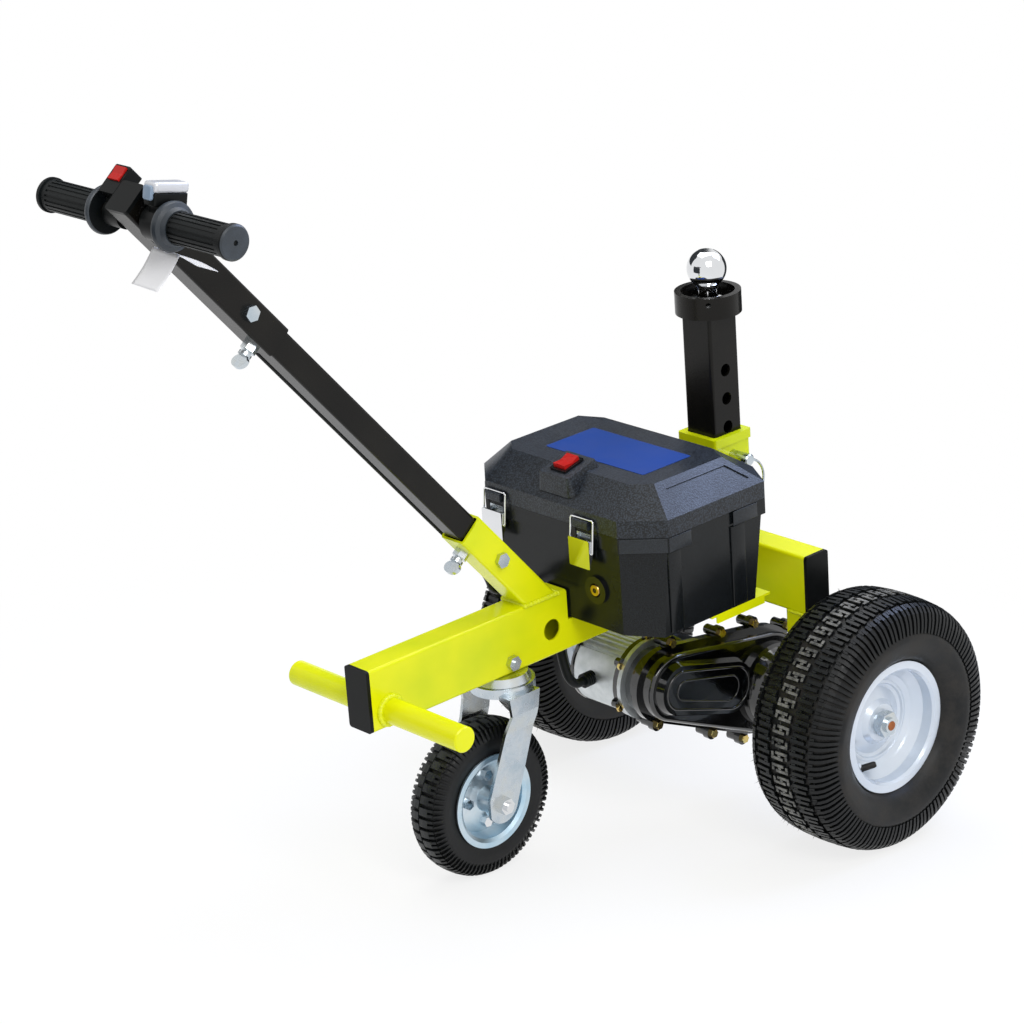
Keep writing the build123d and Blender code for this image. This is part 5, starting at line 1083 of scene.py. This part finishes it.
class DOLLY_OT_stage(bpy.types.Operator):
    """Set up the floor, the studio light and the camera"""

    bl_idname = "dolly.stage"
    bl_label = "Studio"

    def execute(self, context):
        scene = context.scene
        scene.view_settings.view_transform = "Standard"

        # The paper runs out to plain white a metre or so from the dolly, as an overexposed sweep does
        paper, tree, shader, place = new_finish("white studio paper", Roughness=0.9)
        shader.inputs["Base Color"].default_value = linear("#F2F2F2")
        reach = add(tree, "ShaderNodeVectorMath", {0: place}, operation="LENGTH").outputs["Value"]
        fade = add(tree, "ShaderNodeMapRange", {
            "Value": reach, "From Min": 0.6, "From Max": 1.3, "To Min": 0.8, "To Max": 1.0},
            interpolation_type="SMOOTHSTEP")
        seen = rays(tree, "Is Camera Ray", "Is Glossy Ray")
        share = add(tree, "ShaderNodeMath", {0: seen, 1: fade}, operation="MULTIPLY")
        glow = add(tree, "ShaderNodeEmission", {"Color": linear("#FFFFFF"), "Strength": 1.0})
        mixed = add(tree, "ShaderNodeMixShader", {0: share, 1: shader, 2: glow})
        tree.links.new(mixed.outputs[0], tree.nodes["Material Output"].inputs["Surface"])
        corners = rectangle(-FLOOR_REACH, FLOOR_REACH, -FLOOR_REACH, FLOOR_REACH)
        staged("floor", [(x, y, 0) for x, y in corners], paper)

        world = bpy.data.worlds.new("studio")
        scene.world = world
        world.use_nodes = True
        sky = world.node_tree
        seen = rays(sky, "Is Camera Ray", "Is Glossy Ray", "Is Transmission Ray")
        level = add(sky, "ShaderNodeMapRange", {"Value": seen, "To Min": 0.58, "To Max": 1.0})
        backdrop = sky.nodes["Background"]
        backdrop.inputs["Color"].default_value = linear("#FFFFFF")
        sky.links.new(level.outputs[0], backdrop.inputs["Strength"])

        # Dark cards stand round the dolly and show only in gloss, so that paint and chrome get dark bands
        card, tree = new_finish("grey studio card", Roughness=1.0)[:2]
        dark = add(tree, "ShaderNodeEmission", {"Color": linear("#3A3D40"), "Strength": 1.0})
        tree.links.new(dark.outputs[0], tree.nodes["Material Output"].inputs["Surface"])
        for name, (x0, y0), (x1, y1), low, high in CARDS:
            flag = staged(name, [(x0, y0, low), (x1, y1, low), (x1, y1, high), (x0, y0, high)], card)
            flag.visible_camera = False
            flag.visible_diffuse = False
            flag.visible_shadow = False
            flag.visible_transmission = False

        for name, place, aim, size, power, tint in LAMPS:
            lamp = bpy.data.lights.new(name, "AREA")
            lamp.size = size
            lamp.energy = power
            lamp.color = linear(tint)[:3]
            light = new_object(name, lamp)
            light.location = place
            light.rotation_euler = (Vector(place) - Vector(aim)).to_track_quat("Z", "Y").to_euler()

        lens = bpy.data.cameras.new("photo")
        lens.lens = CAMERA_LENS
        lens.sensor_width = CAMERA_SENSOR
        camera = new_object("photo", lens)
        camera.location = CAMERA_PLACE
        camera.rotation_euler = CAMERA_TURN
        scene.camera = camera
        return {"FINISHED"}


class DOLLY_PT_panel(bpy.types.Panel):
    """Sidebar list of the dolly's pieces"""

    bl_idname = "DOLLY_PT_panel"
    bl_label = "Electric Trailer Dolly"
    bl_space_type = "VIEW_3D"
    bl_region_type = "UI"
    bl_category = "Dolly"

    def draw(self, context):
        for group in (context.scene.dolly_sizes, context.scene.dolly_colours):
            for name in group.bl_rna.properties.keys():
                if name not in ("rna_type", "name"):
                    self.layout.prop(group, name)
        for operator in OPERATORS:
            self.layout.operator(operator.bl_idname)


OPERATORS = (DOLLY_OT_frame, DOLLY_OT_handle, DOLLY_OT_battery_box, DOLLY_OT_hitch,
             DOLLY_OT_drive_unit, DOLLY_OT_drive_wheels, DOLLY_OT_caster, DOLLY_OT_stage)
CLASSES = (DollySizes, DollyColours, *OPERATORS, DOLLY_PT_panel)


def register():
    for made in CLASSES:
        bpy.utils.register_class(made)
    bpy.types.Scene.dolly_sizes = PointerProperty(type=DollySizes)
    bpy.types.Scene.dolly_colours = PointerProperty(type=DollyColours)


def unregister():
    del bpy.types.Scene.dolly_colours
    del bpy.types.Scene.dolly_sizes
    for made in reversed(CLASSES):
        bpy.utils.unregister_class(made)


def main():
    register()
    bpy.ops.dolly.frame()
    bpy.ops.dolly.handle()
    bpy.ops.dolly.battery_box()
    bpy.ops.dolly.hitch()
    bpy.ops.dolly.drive_unit()
    bpy.ops.dolly.drive_wheels()
    bpy.ops.dolly.caster()
    bpy.ops.dolly.stage()


if __name__ == "__main__":
    main()
